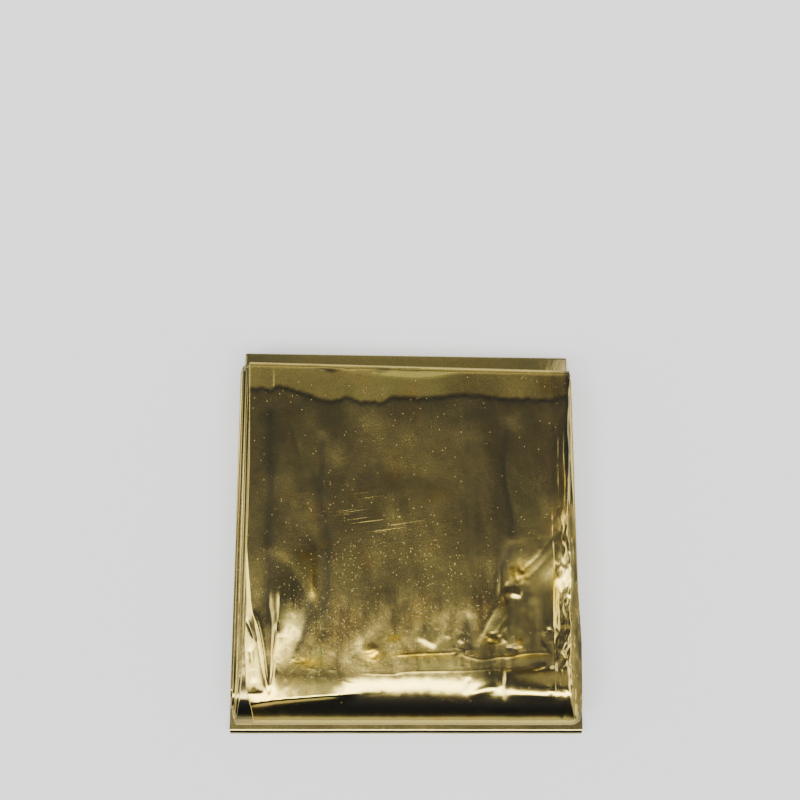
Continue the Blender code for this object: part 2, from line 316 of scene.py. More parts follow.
# Upper hem of the front panel: the wavy line where it tips back, in mm from left to right
LinePoint = namedtuple("LinePoint", "x y")
HEM_LINE = table_rows(
    LinePoint,
    (-43.0, 41.1), (-36.0, 41.0), (-33.3, 41.8), (-28.0, 40.3), (-24.0, 39.2), (-19.8, 38.2),
    (-16.1, 39.5), (-12.1, 38.4), (-6.9, 38.2), (-3.4, 40.0), (3.7, 39.7), (9.0, 40.3), (14.8, 40.8),
    (19.0, 40.8), (24.8, 40.3), (38.0, 40.0), (44.0, 41.5),
)
HEM_SLOPE = 0.10
HEM_RIGHT_SLOPE = 0.082
HEM_RIGHT_FADE = (-10, 28)
HEM_REACH = 8.0 * MM
HEM_CREASE_DEPTH = 0.03 * MM
HEM_CREASE_WIDTH = 0.30 * MM
HEM_SHADOW_WIDTH = 1.5 * MM
HEM_JAG = 0.28 * MM

# Below its top fold the panel bends back further, from this line on
BACK_LINE = table_rows(
    LinePoint,
    (-44.0, 49.0), (-24.0, 48.0), (-14.0, 46.4), (-6.0, 45.5), (2.0, 45.1), (8.0, 45.6), (14.0, 47.0),
    (44.0, 47.6),
)
BACK_SLOPE = 0.17
BACK_REACH = 3.0 * MM

# Edges of the front panel, in mm: its left edge, the crease at its right side and the outer side of the
# strip beyond that crease, from the open end down
EdgeRow = namedtuple("EdgeRow", "y left crease right")
EDGE_TABLE = table_rows(
    EdgeRow,
    (48.0, -41.4, 38.2, 43.2),
    (22.0, -41.5, 38.1, 43.6),
    (8.0, -41.9, 38.1, 44.6),
    (-4.0, -42.4, 38.7, 45.1),
    (-15.0, -42.3, 38.8, 45.9),
    (-26.0, -42.8, 38.9, 46.6),
    (-38.0, -42.4, 39.1, 46.7),
    (-44.0, -40.9, 39.6, 46.7),
    (-48.2, -40.4, 40.2, 46.3),
)

# The left margin of the panel turns down outside this line, in mm
MARGIN_LINE = ((3.0, -42.3), (-4.0, -41.7), (-14.7, -40.9), (-26.5, -39.1), (-33.0, -38.0), (-39.7, -36.7))
MARGIN_SLOPE = 0.22
MARGIN_FADE = 3.0 * MM

# The panel leans down to the right, right of this line and above the spine, more in its lower part
LEAN_START = 17.0 * MM
LEAN_SLOPE = 0.03
LEAN_LOW_SLOPE = 0.05
LEAN_LOW_FADE = (-12, 12)
LEAN_END_FADE = (-40, 8)

# The panel's crown: how far it falls toward the spine below this height, and its share at the right
CROWN_START = -2.0 * MM
CROWN_REACH = 40.0 * MM
CROWN_DROP = 0.82 * MM
CROWN_RIGHT_SHARE = 0.18
CROWN_RIGHT_FADE = (6, 18)

PathPoint = namedtuple("PathPoint", "y z normal_y normal_z fall left_in right_in")


def length_setting(name, description, default):
    """A setting that is a length."""
    return FloatProperty(name=name, description=description, default=default, unit="LENGTH")


def factor_setting(name, description, default):
    """A setting that is a share or a factor."""
    return FloatProperty(name=name, description=description, default=default, subtype="FACTOR")


def colour_setting(name, description, red, green, blue):
    """A setting that is a colour."""
    value = (red, green, blue, 1.0)
    return FloatVectorProperty(name=name, description=description, default=value, size=4, subtype="COLOR")


class FoldSizes(bpy.types.PropertyGroup):
    """Sizes of the folded packet"""

    layer_thick: length_setting(
        "Layer thickness", "Height of one layer of 28 plies with the air between them", 1.0 * MM
    )
    layer_gap: length_setting("Layer gap", "Looser space between two layers", 0.3 * MM)
    width_plies: IntProperty(
        name="Plies across", description="How many plies the width of the sheet is folded into", default=14
    )
    sheet_width: length_setting("Sheet width", "Width that the sheet was cut to", 1.32)
    sheet_length: length_setting("Sheet length", "Length that the sheet was cut to", 2.13)
    clearance: length_setting(
        "Outer ply clearance", "How far the outermost plies stand off the ones under them", 0.06 * MM
    )
    relief: factor_setting("Crease strength", "Scales the height of every crease in the front panel", 1.0)


class FilmLook(bpy.types.PropertyGroup):
    """Colours and finish of the film"""

    gold: colour_setting("Gold face", "Colour of the outer face", 0.82, 0.63, 0.15)
    deep_gold: colour_setting("Deeper gold", "Warmer tone of the gold in patches", 0.84, 0.57, 0.11)
    green_gold: colour_setting("Greener gold", "Cooler tone of the gold in patches", 0.77, 0.63, 0.14)
    # Painted reflection: the deeper gold painted where the film faces itself
    rich_gold: colour_setting("Rich gold", "Colour where the film faces itself", 0.95, 0.62, 0.01)
    edge_gold: colour_setting("Gold edge on", "Colour of the film seen nearly edge on", 0.72, 0.64, 0.46)
    silver: colour_setting("Silver face", "Colour of the inner face", 0.78, 0.78, 0.80)
    dust: colour_setting("Dust", "Colour of fine dust and scuffs on the film", 1.0, 0.74, 0.20)
    # Painted shade: the dark colour that the gold is mixed toward wherever shade is painted
    crease: colour_setting("Crease", "Colour of a hard crease where the gold is dulled", 0.16, 0.14, 0.07)
    roughness: factor_setting("Roughness", "Roughness of taut, clean film", 0.10)
    haze: factor_setting("Haze", "How much of a thin dull haze of handling lies over the film", 0.25)


class StageLook(bpy.types.PropertyGroup):
    """The floor, the light and the camera"""

    floor_colour: colour_setting("Floor", "Colour of the floor", 0.86, 0.86, 0.86)
    floor_glow: FloatProperty(
        name="Floor glow", description="Light that the floor gives, as a light table does", default=0.6
    )
    camera_height: length_setting("Camera height", "How high the camera stands above the floor", 0.9)
    frame_width: length_setting("Frame width", "Width of the picture at the front panel", 0.2112)
    frame_centre: FloatVectorProperty(
        name="Frame centre",
        description="Point of the packet that the middle of the picture shows",
        size=2,
        default=(-0.0016, 0.0387),
        subtype="XYZ_LENGTH",
    )


def smooth_step(value):
    """Goes softly from 0 to 1 as the value does."""
    value = np.clip(value, 0.0, 1.0)
    return value * value * (3.0 - 2.0 * value)


def fade(value, start, width):
    """Goes softly from 0 at the start to 1 a width further on, both in mm. A width may be negative."""
    return smooth_step((value - start * MM) / (width * MM))


def mix(first, second, share):
    """The value at this share of the way from the first to the second."""
    return first + (second - first) * share


def half_width(y):
    """Half the packet's width at this height."""
    return mix(SPINE_HALF_WIDTH, OPEN_END_HALF_WIDTH, (y + HALF_HEIGHT) / (2 * HALF_HEIGHT))


def lattice_noise(x, y, cell_x, cell_y, seed):
    """Soft seeded noise from -1 to 1 over a plane, with cells of the given size."""
    values = np.random.default_rng(seed).uniform(-1.0, 1.0, (NOISE_CELLS, NOISE_CELLS))
    across = x / cell_x + 97.3
    along = y / cell_y + 83.7
    col = np.floor(across).astype(int)
    row = np.floor(along).astype(int)
    share_x = smooth_step(across - col)
    share_y = smooth_step(along - row)
    left, right = col % NOISE_CELLS, (col + 1) % NOISE_CELLS
    low, high = row % NOISE_CELLS, (row + 1) % NOISE_CELLS
    near = mix(values[low, left], values[low, right], share_x)
    far = mix(values[high, left], values[high, right], share_x)
    return mix(near, far, share_y)


def facet_noise(x, y, cell_x, cell_y, seed):
    """Seeded noise from -1 to 1 made of flat facets with sharp edges, like crumpled foil."""
    generator = np.random.default_rng(seed)
    values = generator.uniform(-1.0, 1.0, (NOISE_CELLS, NOISE_CELLS))
    turned = generator.uniform(size=(NOISE_CELLS, NOISE_CELLS)) < 0.5
    across = x / cell_x + 61.7 + 0.45 * lattice_noise(x, y, cell_x * 1.3, cell_y * 1.3, seed + 1)
    along = y / cell_y + 71.3 + 0.45 * lattice_noise(x, y, cell_x * 1.1, cell_y * 1.4, seed + 2)
    col = np.floor(across).astype(int)
    row = np.floor(along).astype(int)
    share_x = across - col
    share_y = along - row
    low, high = row % NOISE_CELLS, (row + 1) % NOISE_CELLS
    flip = turned[low, col % NOISE_CELLS]
    share_x = np.where(flip, 1 - share_x, share_x)
    near = np.where(flip, col + 1, col) % NOISE_CELLS
    far = np.where(flip, col, col + 1) % NOISE_CELLS
    first = values[low, near] + share_x * (values[low, far] - values[low, near])
    first += share_y * (values[high, near] - values[low, near])
    second = values[high, far] + (1 - share_x) * (values[high, near] - values[high, far])
    second += (1 - share_y) * (values[low, far] - values[high, far])
    return np.where(share_x + share_y < 1, first, second)


def curve_through(points, steps):
    """Points on a smooth curve through the given ones."""
    knots = np.array(points, dtype=float)
    knots = np.vstack([2 * knots[0] - knots[1], knots, 2 * knots[-1] - knots[-2]])
    share = (np.arange(steps) / steps)[:, None]
    runs = []
    for before, start, end, after in zip(knots, knots[1:], knots[2:], knots[3:]):
        bow = 2 * before - 5 * start + 4 * end - after
        twist = 3 * start - before - 3 * end + after
        runs.append(start + 0.5 * ((end - before) * share + bow * share**2 + twist * share**3))
    return np.vstack([*runs, knots[-2]])


def crease_height(crease, x, y):
    """How far one crease lifts the panel at each place."""
    route = curve_through(crease.points, CURVE_STEPS) * MM
    reach = max(crease.left, crease.right) * MM * CREASE_REACH
    low = route.min(axis=0) - reach
    high = route.max(axis=0) + reach
    chosen = (x > low[0]) & (x < high[0]) & (y > low[1]) & (y < high[1])
    x, y = x[chosen], y[chosen]
    starts = route[:-1]
    steps = route[1:] - starts
    lengths = np.linalg.norm(steps, axis=1)
    travelled = np.concatenate(([0.0], np.cumsum(lengths)))
    nearest = np.full(x.shape, 1.0)
    place = np.zeros(x.shape)
    hand = np.zeros(x.shape)
    for start, step, length, before in zip(starts, steps, lengths, travelled):
        away_x = x - start[0]
        away_y = y - start[1]
        share = np.clip((away_x * step[0] + away_y * step[1]) / length**2, 0.0, 1.0)
        away = np.hypot(away_x - share * step[0], away_y - share * step[1])
        closer = away < nearest
        nearest = np.where(closer, away, nearest)
        place = np.where(closer, before + share * length, place)
        hand = np.where(closer, step[0] * away_y - step[1] * away_x, hand)
    total = travelled[-1]
    taper = min(max(CREASE_TAPER, reach * WIDE_TAPER), total * LONGEST_TAPER)
    ends = smooth_step(place / taper + END_START) * smooth_step((total - place) / taper + END_START)
    width = np.where(hand > 0, crease.left, crease.right) * MM
    if crease.sharp:
        form = np.exp((EDGE_ROUND - np.hypot(nearest, EDGE_ROUND)) / width * SHARP_FALL)
    else:
        form = np.exp(-((nearest / width) ** 2))
    height = np.zeros(chosen.shape)
    height[chosen] = crease.height * MM * form * ends
    return height


def pillow_height(pillow, x, y):
    """How far one soft swelling lifts the panel at each place."""
    along = y - pillow.y * MM
    across = x - pillow.x * MM + pillow.lean * along
    reach_x = np.where(across < 0, pillow.left, pillow.right) * MM
    reach_y = np.where(along < 0, pillow.down, pillow.up) * MM
    return pillow.height * MM * np.exp(-((across / reach_x) ** 2) - (along / reach_y) ** 2)


def spot_share(spot, x, y):
    """How much of the painted reflection's deeper gold one spot gives each place."""
    across = (x - spot.x * MM) / (spot.half_x * MM)
    along = (y - spot.y * MM) / (spot.half_y * MM)
    return np.exp(-(across**2) - along**2)


def trough_dip(trough, x, y):
    """How deep one soft trough is at each place on the front panel."""
    y_spine = trough.y_spine * MM
    y_open = trough.y_open * MM
    share = (y - y_spine) / (y_open - y_spine)
    middle = mix(trough.x_spine, trough.x_open, share) * MM
    across = 1.0 - smooth_step(abs(x - middle) / (trough.half_width * MM))
    ends = smooth_step((y - y_spine) / TROUGH_FADE + 1) * smooth_step((y_open - y) / TROUGH_FADE + 1)
    return trough.depth * MM * across * ends


def above_line(line, x, y):
    """How far each place lies above a line across the panel."""
    return y - np.interp(x, [p.x * MM for p in line], [p.y * MM for p in line])


def hem_place(x, y):
    """How far each place lies above the wavy, slightly jagged line of the hem."""
    coarse = lattice_noise(x, 0 * x, 1.3 * MM, MM, SEED + 20)
    fine = lattice_noise(x, 0 * x, 0.5 * MM, MM, SEED + 21)
    return above_line(HEM_LINE, x, y) + HEM_JAG * (coarse + 0.6 * fine)


def margin_dip(x, y):
    """How far the left margin is turned down outside its bend line."""
    heights = [p[0] * MM for p in reversed(MARGIN_LINE)]
    places = [p[1] * MM for p in reversed(MARGIN_LINE)]
    line = np.interp(y, heights, places)
    low, high = heights[0], heights[-1]
    inside = smooth_step((y - low) / MARGIN_FADE) * smooth_step((high - y) / MARGIN_FADE)
    return np.clip(line - x, 0.0, None) * MARGIN_SLOPE * inside


def front_dip(x, y):
    """How far the front panel lies below its full height."""
    half = half_width(y)
    left = 1.0 - smooth_step((x + half) / LEFT_SHOULDER_WIDTH)
    right = 1.0 - smooth_step((half - x) / RIGHT_SHOULDER_WIDTH)
    dip = left * LEFT_SHOULDER_DROP + right * RIGHT_SHOULDER_DROP
    hem_slope = mix(HEM_SLOPE, HEM_RIGHT_SLOPE, fade(x, *HEM_RIGHT_FADE))
    dip = dip + np.clip(hem_place(x, y), 0.0, HEM_REACH) * hem_slope + margin_dip(x, y)
    dip = dip + np.clip(above_line(BACK_LINE, x, y), 0.0, BACK_REACH) * BACK_SLOPE
    crown = mix(1.0, CROWN_RIGHT_SHARE, fade(x, *CROWN_RIGHT_FADE))
    dip = dip + crown * CROWN_DROP * (np.clip(CROWN_START - y, 0.0, None) / CROWN_REACH) ** 2
    lean = mix(LEAN_LOW_SLOPE, LEAN_SLOPE, fade(y, *LEAN_LOW_FADE))
    dip = dip + lean * np.clip(x - LEAN_START, 0.0, None) * fade(y, *LEAN_END_FADE)
    return dip + np.max([trough_dip(trough, x, y) for trough in TROUGH_TABLE], axis=0)


def panel_press(x, y):
    """How far the plies lie pressed down under the front panel, inside its edges."""
    half = half_width(y)
    across = fade(x + half, *PRESS_LEFT) * fade(half - x, *PRESS_RIGHT)
    along = fade(y, *PRESS_LOW) * fade(y, *PRESS_HIGH)
    return PANEL_PRESS * across * along


class Folding:
    """Works out the route of the sheet through its layers and folds."""

    def __init__(self, sizes):
        self.thick = sizes.layer_thick
        self.pitch = sizes.layer_thick + sizes.layer_gap
        self.total = LAYERS * sizes.layer_thick + (LAYERS - 1) * sizes.layer_gap

    def middle(self, number):
        """Height of a layer's middle, with layer 1 on the underside."""
        return self.thick / 2 + (number - 1) * self.pitch

    def edge_values(self, number):
        """How a layer's edges are cut: its fall, and how far its sides stand in."""
        row = LAYER_TABLE[number - 1]
        return row.fall * MM, row.left_in * MM, row.right_in * MM

    def straight(self, number, y_from, y_to, count):
        """Points along a layer, without the last one."""
        facing = 1.0 if y_to < y_from else -1.0
        places = np.linspace(y_from, y_to, count, endpoint=False)
        return [PathPoint(y, self.middle(number), 0.0, facing, *self.edge_values(number)) for y in places]

    def tip(self, fold):
        """Outermost Y of a fold's middle line, and its side: -1 at the spine."""
        if fold.low is None:
            return LAYER_TABLE[fold.start - 1].open_end * MM - self.thick / 2, 1.0
        return fold.low * MM + self.thick / 2, -1.0

    def reach(self, fold, is_upper):
        """How long a fold's bend is in its upper or its lower half."""
        eased = fold.low is not None and abs(fold.end - fold.start) > 1 and not is_upper
        return fold.bend * MM * (LOWER_BEND_SHARE if eased else 1.0)

    def bend_start(self, fold, layer):
        """Where a fold's bend leaves one of its two flat layers."""
        tip, side = self.tip(fold)
        return tip - side * self.reach(fold, layer == max(fold.start, fold.end))

    def bend(self, fold, count, crowding=1.0):
        """Points round a fold, without the last one, closer toward its end where they are crowded."""
        tip, side = self.tip(fold)
        first = self.middle(fold.start)
        second = self.middle(fold.end)
        middle = (first + second) / 2
        half = (second - first) / 2
        points = []
        for share in 1 - np.linspace(1.0, 0.0, count, endpoint=False) ** crowding:
            angle = share * pi
            z = middle - half * cos(angle)
            reach = self.reach(fold, z > middle)
            y = tip - side * reach * (1.0 - sin(angle))
            along_y = side * reach * cos(angle)
            along_z = half * sin(angle)
            length = (along_y**2 + along_z**2) ** 0.5
            values = [
                mix(a, b, share) for a, b in zip(self.edge_values(fold.start), self.edge_values(fold.end))
            ]
            points.append(PathPoint(y, z, along_z / length, -along_y / length, *values))
        return points

    def whole_route(self, flat, around_spine, around_fold):
        """The middle line of the whole folded strip, from the back panel's end to the innermost one."""
        y_here = LAYER_TABLE[0].open_end * MM
        points = []
        for fold in FOLD_TABLE:
            points += self.straight(fold.start, y_here, self.bend_start(fold, fold.start), flat)
            count = around_spine if abs(fold.end - fold.start) > 1 else around_fold
            points += self.bend(fold, count)
            y_here = self.bend_start(fold, fold.end)
        last = FOLD_TABLE[-1].end
        end = LAYER_TABLE[last - 1].open_end * MM
        points += self.straight(last, y_here, end, flat)
        points.append(points[-1]._replace(y=end))
        return points

    def settle(self, x, y, z, fall, pressed=0.0):
        """Lowers the troughs and shoulders and lets the open end's edge fall to the right."""
        z = z * (1 - (front_dip(x, y) + pressed * panel_press(x, y)) / self.total)
        toward_open_end = smooth_step((y + HALF_HEIGHT) / (2 * HALF_HEIGHT))
        y = y - fall / 2 * (1 + x / half_width(y)) * toward_open_end
        return np.stack([x, y + TABLE_LINE, z], axis=-1)


def columns_of(points):
    """The path points as one array for each of their values, one row for each point."""
    return [np.array(values)[:, None] for values in zip(*points)]


def sheet_object(name, grid, material, painted_shade, painted_reflection):
    """A sheet from a grid of places, with a map of its flat cut, its faces on the gold side.

    The last two values say how much painted shade darkens the gold at each place, and how much painted
    reflection deepens its colour.
    """
    rows, cols = grid.shape[:2]
    mesh = bpy.data.meshes.new(name)
    index = np.arange(rows * cols).reshape(rows, cols)
    quads = np.stack([index[:-1, :-1], index[:-1, 1:], index[1:, 1:], index[1:, :-1]], axis=-1)
    quads = quads.reshape(-1, 4)
    mesh.vertices.add(rows * cols)
    mesh.vertices.foreach_set("co", grid.reshape(-1).astype(np.float32))
    mesh.loops.add(quads.size)
    mesh.loops.foreach_set("vertex_index", quads.reshape(-1).astype(np.int32))
    mesh.polygons.add(len(quads))
    mesh.polygons.foreach_set("loop_start", np.arange(0, quads.size, 4, dtype=np.int32))
    mesh.update(calc_edges=True)
    mesh.validate()
    layer = mesh.uv_layers.new(name="OFBake")
    across = (np.arange(cols) / (cols - 1))[None, :].repeat(rows, axis=0).reshape(-1)
    along = (np.arange(rows) / (rows - 1))[:, None].repeat(cols, axis=1).reshape(-1)
    corners = quads.reshape(-1)
    layer.data.foreach_set("uv", np.stack([across[corners], along[corners]], axis=-1).reshape(-1))
    for label, values in (("painted_shade", painted_shade), ("painted_reflection", painted_reflection)):
        mark = mesh.attributes.new(label, "FLOAT", "POINT")
        mark.data.foreach_set("value", np.clip(values, 0.0, 1.0).reshape(-1).astype(np.float32))
    mesh.shade_smooth()
    mesh.materials.append(material)
    piece = bpy.data.objects.new(name, mesh)
    bpy.context.scene.collection.objects.link(piece)
    return piece


def declare(piece):
    """Hangs a piece on the root body and hides the solid that it stands for."""
    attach(piece, "root")
    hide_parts(NODE)


class Nodes:
    """Short calls for a node tree."""

    def __init__(self, tree):
        self.tree = tree

    def add(self, kind, **settings):
        """Adds a node with its settings."""
        node = self.tree.nodes.new(kind)
        for key, value in settings.items():
            setattr(node, key, value)
        return node

    def put(self, node, name, value):
        """Sets an input, or links it where the value is another node's output."""
        socket = node.inputs[name]
        if isinstance(value, bpy.types.NodeSocket):
            self.tree.links.new(value, socket)
        else:
            socket.default_value = value

    def maths(self, operation, *values, clamp=False):
        """A Math node and its output."""
        node = self.add("ShaderNodeMath", operation=operation, use_clamp=clamp)
        for number, value in enumerate(values):
            self.put(node, number, value)
        return node.outputs[0]

    def times(self, first, second):
        """Two values multiplied."""
        return self.maths("MULTIPLY", first, second)

    def plus(self, first, second):
        """Two values added."""
        return self.maths("ADD", first, second)

    def less(self, first, second):
        """The first value less the second."""
        return self.maths("SUBTRACT", first, second)

    def parts(self, vector):
        """The X, Y and Z of a vector."""
        node = self.add("ShaderNodeSeparateXYZ")
        self.put(node, "Vector", vector)
        return node.outputs

    def length(self, vector):
        """How long a vector is."""
        node = self.add("ShaderNodeVectorMath", operation="LENGTH")
        self.put(node, 0, vector)
        return node.outputs["Value"]

    def ranged(self, value, low, high, to_low=0.0, to_high=1.0):
        """A soft Map Range node's output."""
        node = self.add("ShaderNodeMapRange", interpolation_type="SMOOTHSTEP")
        for name, number in zip(
            ("Value", "From Min", "From Max", "To Min", "To Max"), (value, low, high, to_low, to_high)
        ):
            self.put(node, name, number)
        return node.outputs["Result"]

    def noise(self, vector, scale, detail=2.0, roughness=0.5):
        """A Noise node's value."""
        node = self.add("ShaderNodeTexNoise")
        self.put(node, "Vector", vector)
        self.put(node, "Scale", scale)
        self.put(node, "Detail", detail)
        self.put(node, "Roughness", roughness)
        return node.outputs["Fac"]

    def mapping(self, vector, scale, turn=(0.0, 0.0, 0.0), shift=(0.0, 0.0, 0.0)):
        """A Mapping node's output."""
        node = self.add("ShaderNodeMapping")
        self.put(node, "Vector", vector)
        self.put(node, "Scale", scale)
        self.put(node, "Rotation", turn)
        self.put(node, "Location", shift)
        return node.outputs["Vector"]

    def grey(self, value):
        """A value as a grey colour."""
        node = self.add("ShaderNodeCombineColor")
        for name in ("Red", "Green", "Blue"):
            self.put(node, name, value)
        return node.outputs["Color"]

    def blend(self, share, first, second, mode="MIX"):
        """A colour Mix node's output."""
        node = self.add("ShaderNodeMix", data_type="RGBA", blend_type=mode)
        self.put(node, 0, share)
        self.put(node, 6, first)
        self.put(node, 7, second)
        return node.outputs[2]

    def group(self, maker, vector, **amounts):
        """The value of a shared node group, which is made on first use."""
        tree = bpy.data.node_groups.get(maker.__name__) or maker()
        node = self.add("ShaderNodeGroup", node_tree=tree)
        self.put(node, "Vector", vector)
        for name, value in amounts.items():
            self.put(node, name, value)
        return node.outputs[0]

    def mark(self, name):
        """The value that a piece's mesh holds under this name."""
        return self.add("ShaderNodeAttribute", attribute_name=name).outputs["Fac"]


def group_start(name, output, **amounts):
    """A shader node group that turns a place and its named amounts into one value."""
    group = bpy.data.node_groups.new(name, "ShaderNodeTree")
    group.interface.new_socket("Vector", in_out="INPUT", socket_type="NodeSocketVector")
    for label, default in amounts.items():
        socket = group.interface.new_socket(label, in_out="INPUT", socket_type="NodeSocketFloat")
        socket.default_value = default
    group.interface.new_socket(output, in_out="OUTPUT", socket_type="NodeSocketFloat")
    nodes = Nodes(group)
    return group, nodes, nodes.add("NodeGroupInput").outputs, nodes.add("NodeGroupOutput")


# Crinkles, specks and scratches of the film. Their sizes are in cells for each metre along X, Y and Z
LEVEL_CELLS = (700.0, 3600.0, 1200.0)
UPRIGHT_CELLS = (420.0, 110.0, 260.0)
DENT_CELLS = (700.0, 480.0, 600.0)
RIPPLE_GRAIN_CELLS = 5200.0
LEVEL_HEIGHT = 0.09
RIPPLE_GRAIN_HEIGHT = 0.06
UPRIGHT_HEIGHT = 0.5
SPECK_CELLS = 2400.0
CLUMP_CELLS = 70.0
SCRATCH_TURN = radians(-8.0)
SCRATCH_CELLS = (75.0, 3800.0, 60.0)
SCRATCH_PATCH_CELLS = (70.0, 260.0, 45.0)


def film_crinkle():
    """Fine crinkles of thin film: close level ripples and a grain, long upright folds and small dents."""
    group, nodes, given, out = group_start("film_crinkle", "Height", Ripples=1.0, Dents=1.0)
    place = given["Vector"]
    level = nodes.noise(nodes.mapping(place, LEVEL_CELLS), 1.0, 2.0, 0.6)
    grain = nodes.noise(place, RIPPLE_GRAIN_CELLS, 1.0)
    upright = nodes.noise(nodes.mapping(place, UPRIGHT_CELLS), 1.0)
    dents = nodes.noise(nodes.mapping(place, DENT_CELLS), 1.0, 1.0)
    ripples = nodes.plus(nodes.times(level, LEVEL_HEIGHT), nodes.times(grain, RIPPLE_GRAIN_HEIGHT))
    height = nodes.plus(nodes.times(ripples, given["Ripples"]), nodes.times(upright, UPRIGHT_HEIGHT))
    nodes.put(out, "Height", nodes.plus(height, nodes.times(dents, given["Dents"])))
    return group


def film_specks():
    """Dust and tiny pin creases: bright points, denser in patches."""
    group, nodes, given, out = group_start("film_specks", "Mask", Amount=0.5)
    place = given["Vector"]
    cells = nodes.add("ShaderNodeTexVoronoi", feature="F1")
    nodes.put(cells, "Vector", place)
    nodes.put(cells, "Scale", SPECK_CELLS)
    split = nodes.add("ShaderNodeSeparateColor")
    nodes.put(split, "Color", cells.outputs["Color"])
    clumps = nodes.ranged(nodes.noise(place, CLUMP_CELLS, 3.0, 0.6), 0.28, 0.68)
    limit = nodes.less(1.0, nodes.times(clumps, given["Amount"]))
    chosen = nodes.maths("GREATER_THAN", split.outputs["Red"], limit)
    core = nodes.ranged(cells.outputs["Distance"], 0.10, 0.32, 1.0, 0.0)
    nodes.put(out, "Mask", nodes.times(chosen, core))
    return group


def film_scratches():
    """Bundles of hairline scratches that run nearly level."""
    group, nodes, given, out = group_start("film_scratches", "Mask", Amount=0.5)
    turned = nodes.mapping(given["Vector"], (1.0, 1.0, 1.0), (0.0, 0.0, SCRATCH_TURN))
    lines = nodes.noise(nodes.mapping(turned, SCRATCH_CELLS), 1.0, 0.0)
    patches = nodes.noise(nodes.mapping(turned, SCRATCH_PATCH_CELLS), 1.0, 1.0)
    mask = nodes.times(nodes.ranged(patches, 0.45, 0.6), nodes.ranged(lines, 0.64, 0.74))
    nodes.put(out, "Mask", nodes.times(mask, given["Amount"]))
    return group


# How much each piece's film is specked, scratched, rippled and dented, and how deep its crinkles are
Finish = namedtuple("Finish", "specks scratches ripples dents crinkle")
PLIES_FINISH = Finish(0.2, 0.0, 0.4, 0.5, 0.06 * MM)
FRONT_FINISH = Finish(0.28, 0.6, 0.45, 0.18, 0.05 * MM)
BACK_FINISH = Finish(0.3, 0.4, 1.0, 1.0, 0.06 * MM)

# Heights where patterns on the film fade in or out: the panel's above the spine, its hem, and the
# lower part of the panel, which is streaked
SPINE_FADE = (-43 * MM, -36 * MM)
HEM_FADE = (36 * MM, 40 * MM)
STREAKS_LOW = (-36 * MM, -31 * MM)
STREAKS_HIGH = (-18 * MM, -6 * MM)

# Two round patches, each as the scale and shift that bring it to a circle of size one: the dusty
# middle of the panel, and the place that is rubbed and scratched
DUSTY_SCALE = (30.0, 34.0, 0.0)
DUSTY_SHIFT = (0.24, 0.56, 0.0)
RUBBED_SCALE = (75.0, 150.0, 0.0)
RUBBED_SHIFT = (0.5, -1.4, 0.0)

# Tones of the film: cells for each metre of the warm and cool drifts, the grain, streaks and haze
WARM_CELLS = 85.0
COOL_CELLS = (70.0, 35.0, 70.0)
GRAIN_CELLS = 2600.0
STREAK_CELLS = (420.0, 60.0, 200.0)
HAZE_CELLS = 55.0
GRAIN_DARK = 0.78
STREAK_DARK = 0.3
HAZE_ROUGHNESS = 0.05
MARK_ROUGHNESS = 0.3
COAT_ROUGHNESS = 0.5


def film_gold(nodes, look, place, height, marks):
    """Colour of the gold face: its drifts and marks, its painted reflection and painted shade, and its
    grain.
    """
    warm = nodes.ranged(nodes.noise(place, WARM_CELLS, 3.0, 0.6), 0.5, 0.72)
    cool = nodes.ranged(nodes.noise(nodes.mapping(place, COOL_CELLS), 1.0), 0.5, 0.7)
    gold = nodes.blend(warm, look.gold, look.deep_gold)
    gold = nodes.blend(cool, gold, look.green_gold)
    gold = nodes.blend(marks, gold, look.dust)
    # Painted reflection: deeper gold where the film faces itself in a crease
    gold = nodes.blend(nodes.mark("painted_reflection"), gold, look.rich_gold)
    grain = nodes.ranged(nodes.noise(place, GRAIN_CELLS, 2.0, 0.6), 0.34, 0.66, GRAIN_DARK, 1.0)
    streaks = nodes.noise(nodes.mapping(place, STREAK_CELLS), 1.0, 3.0, 0.6)
    streaks = nodes.ranged(streaks, 0.45, 0.7, 0.0, STREAK_DARK)
    lower = nodes.times(nodes.ranged(height, *STREAKS_HIGH, 1.0, 0.0), nodes.ranged(height, *STREAKS_LOW))
    grain = nodes.times(grain, nodes.less(1.0, nodes.times(streaks, lower)))
    gold = nodes.blend(1.0, gold, nodes.grey(grain), "MULTIPLY")
    # Painted shade: the gold mixed toward the dark shade colour as far as the mesh's painted shade says
    return nodes.blend(nodes.mark("painted_shade"), gold, look.crease)


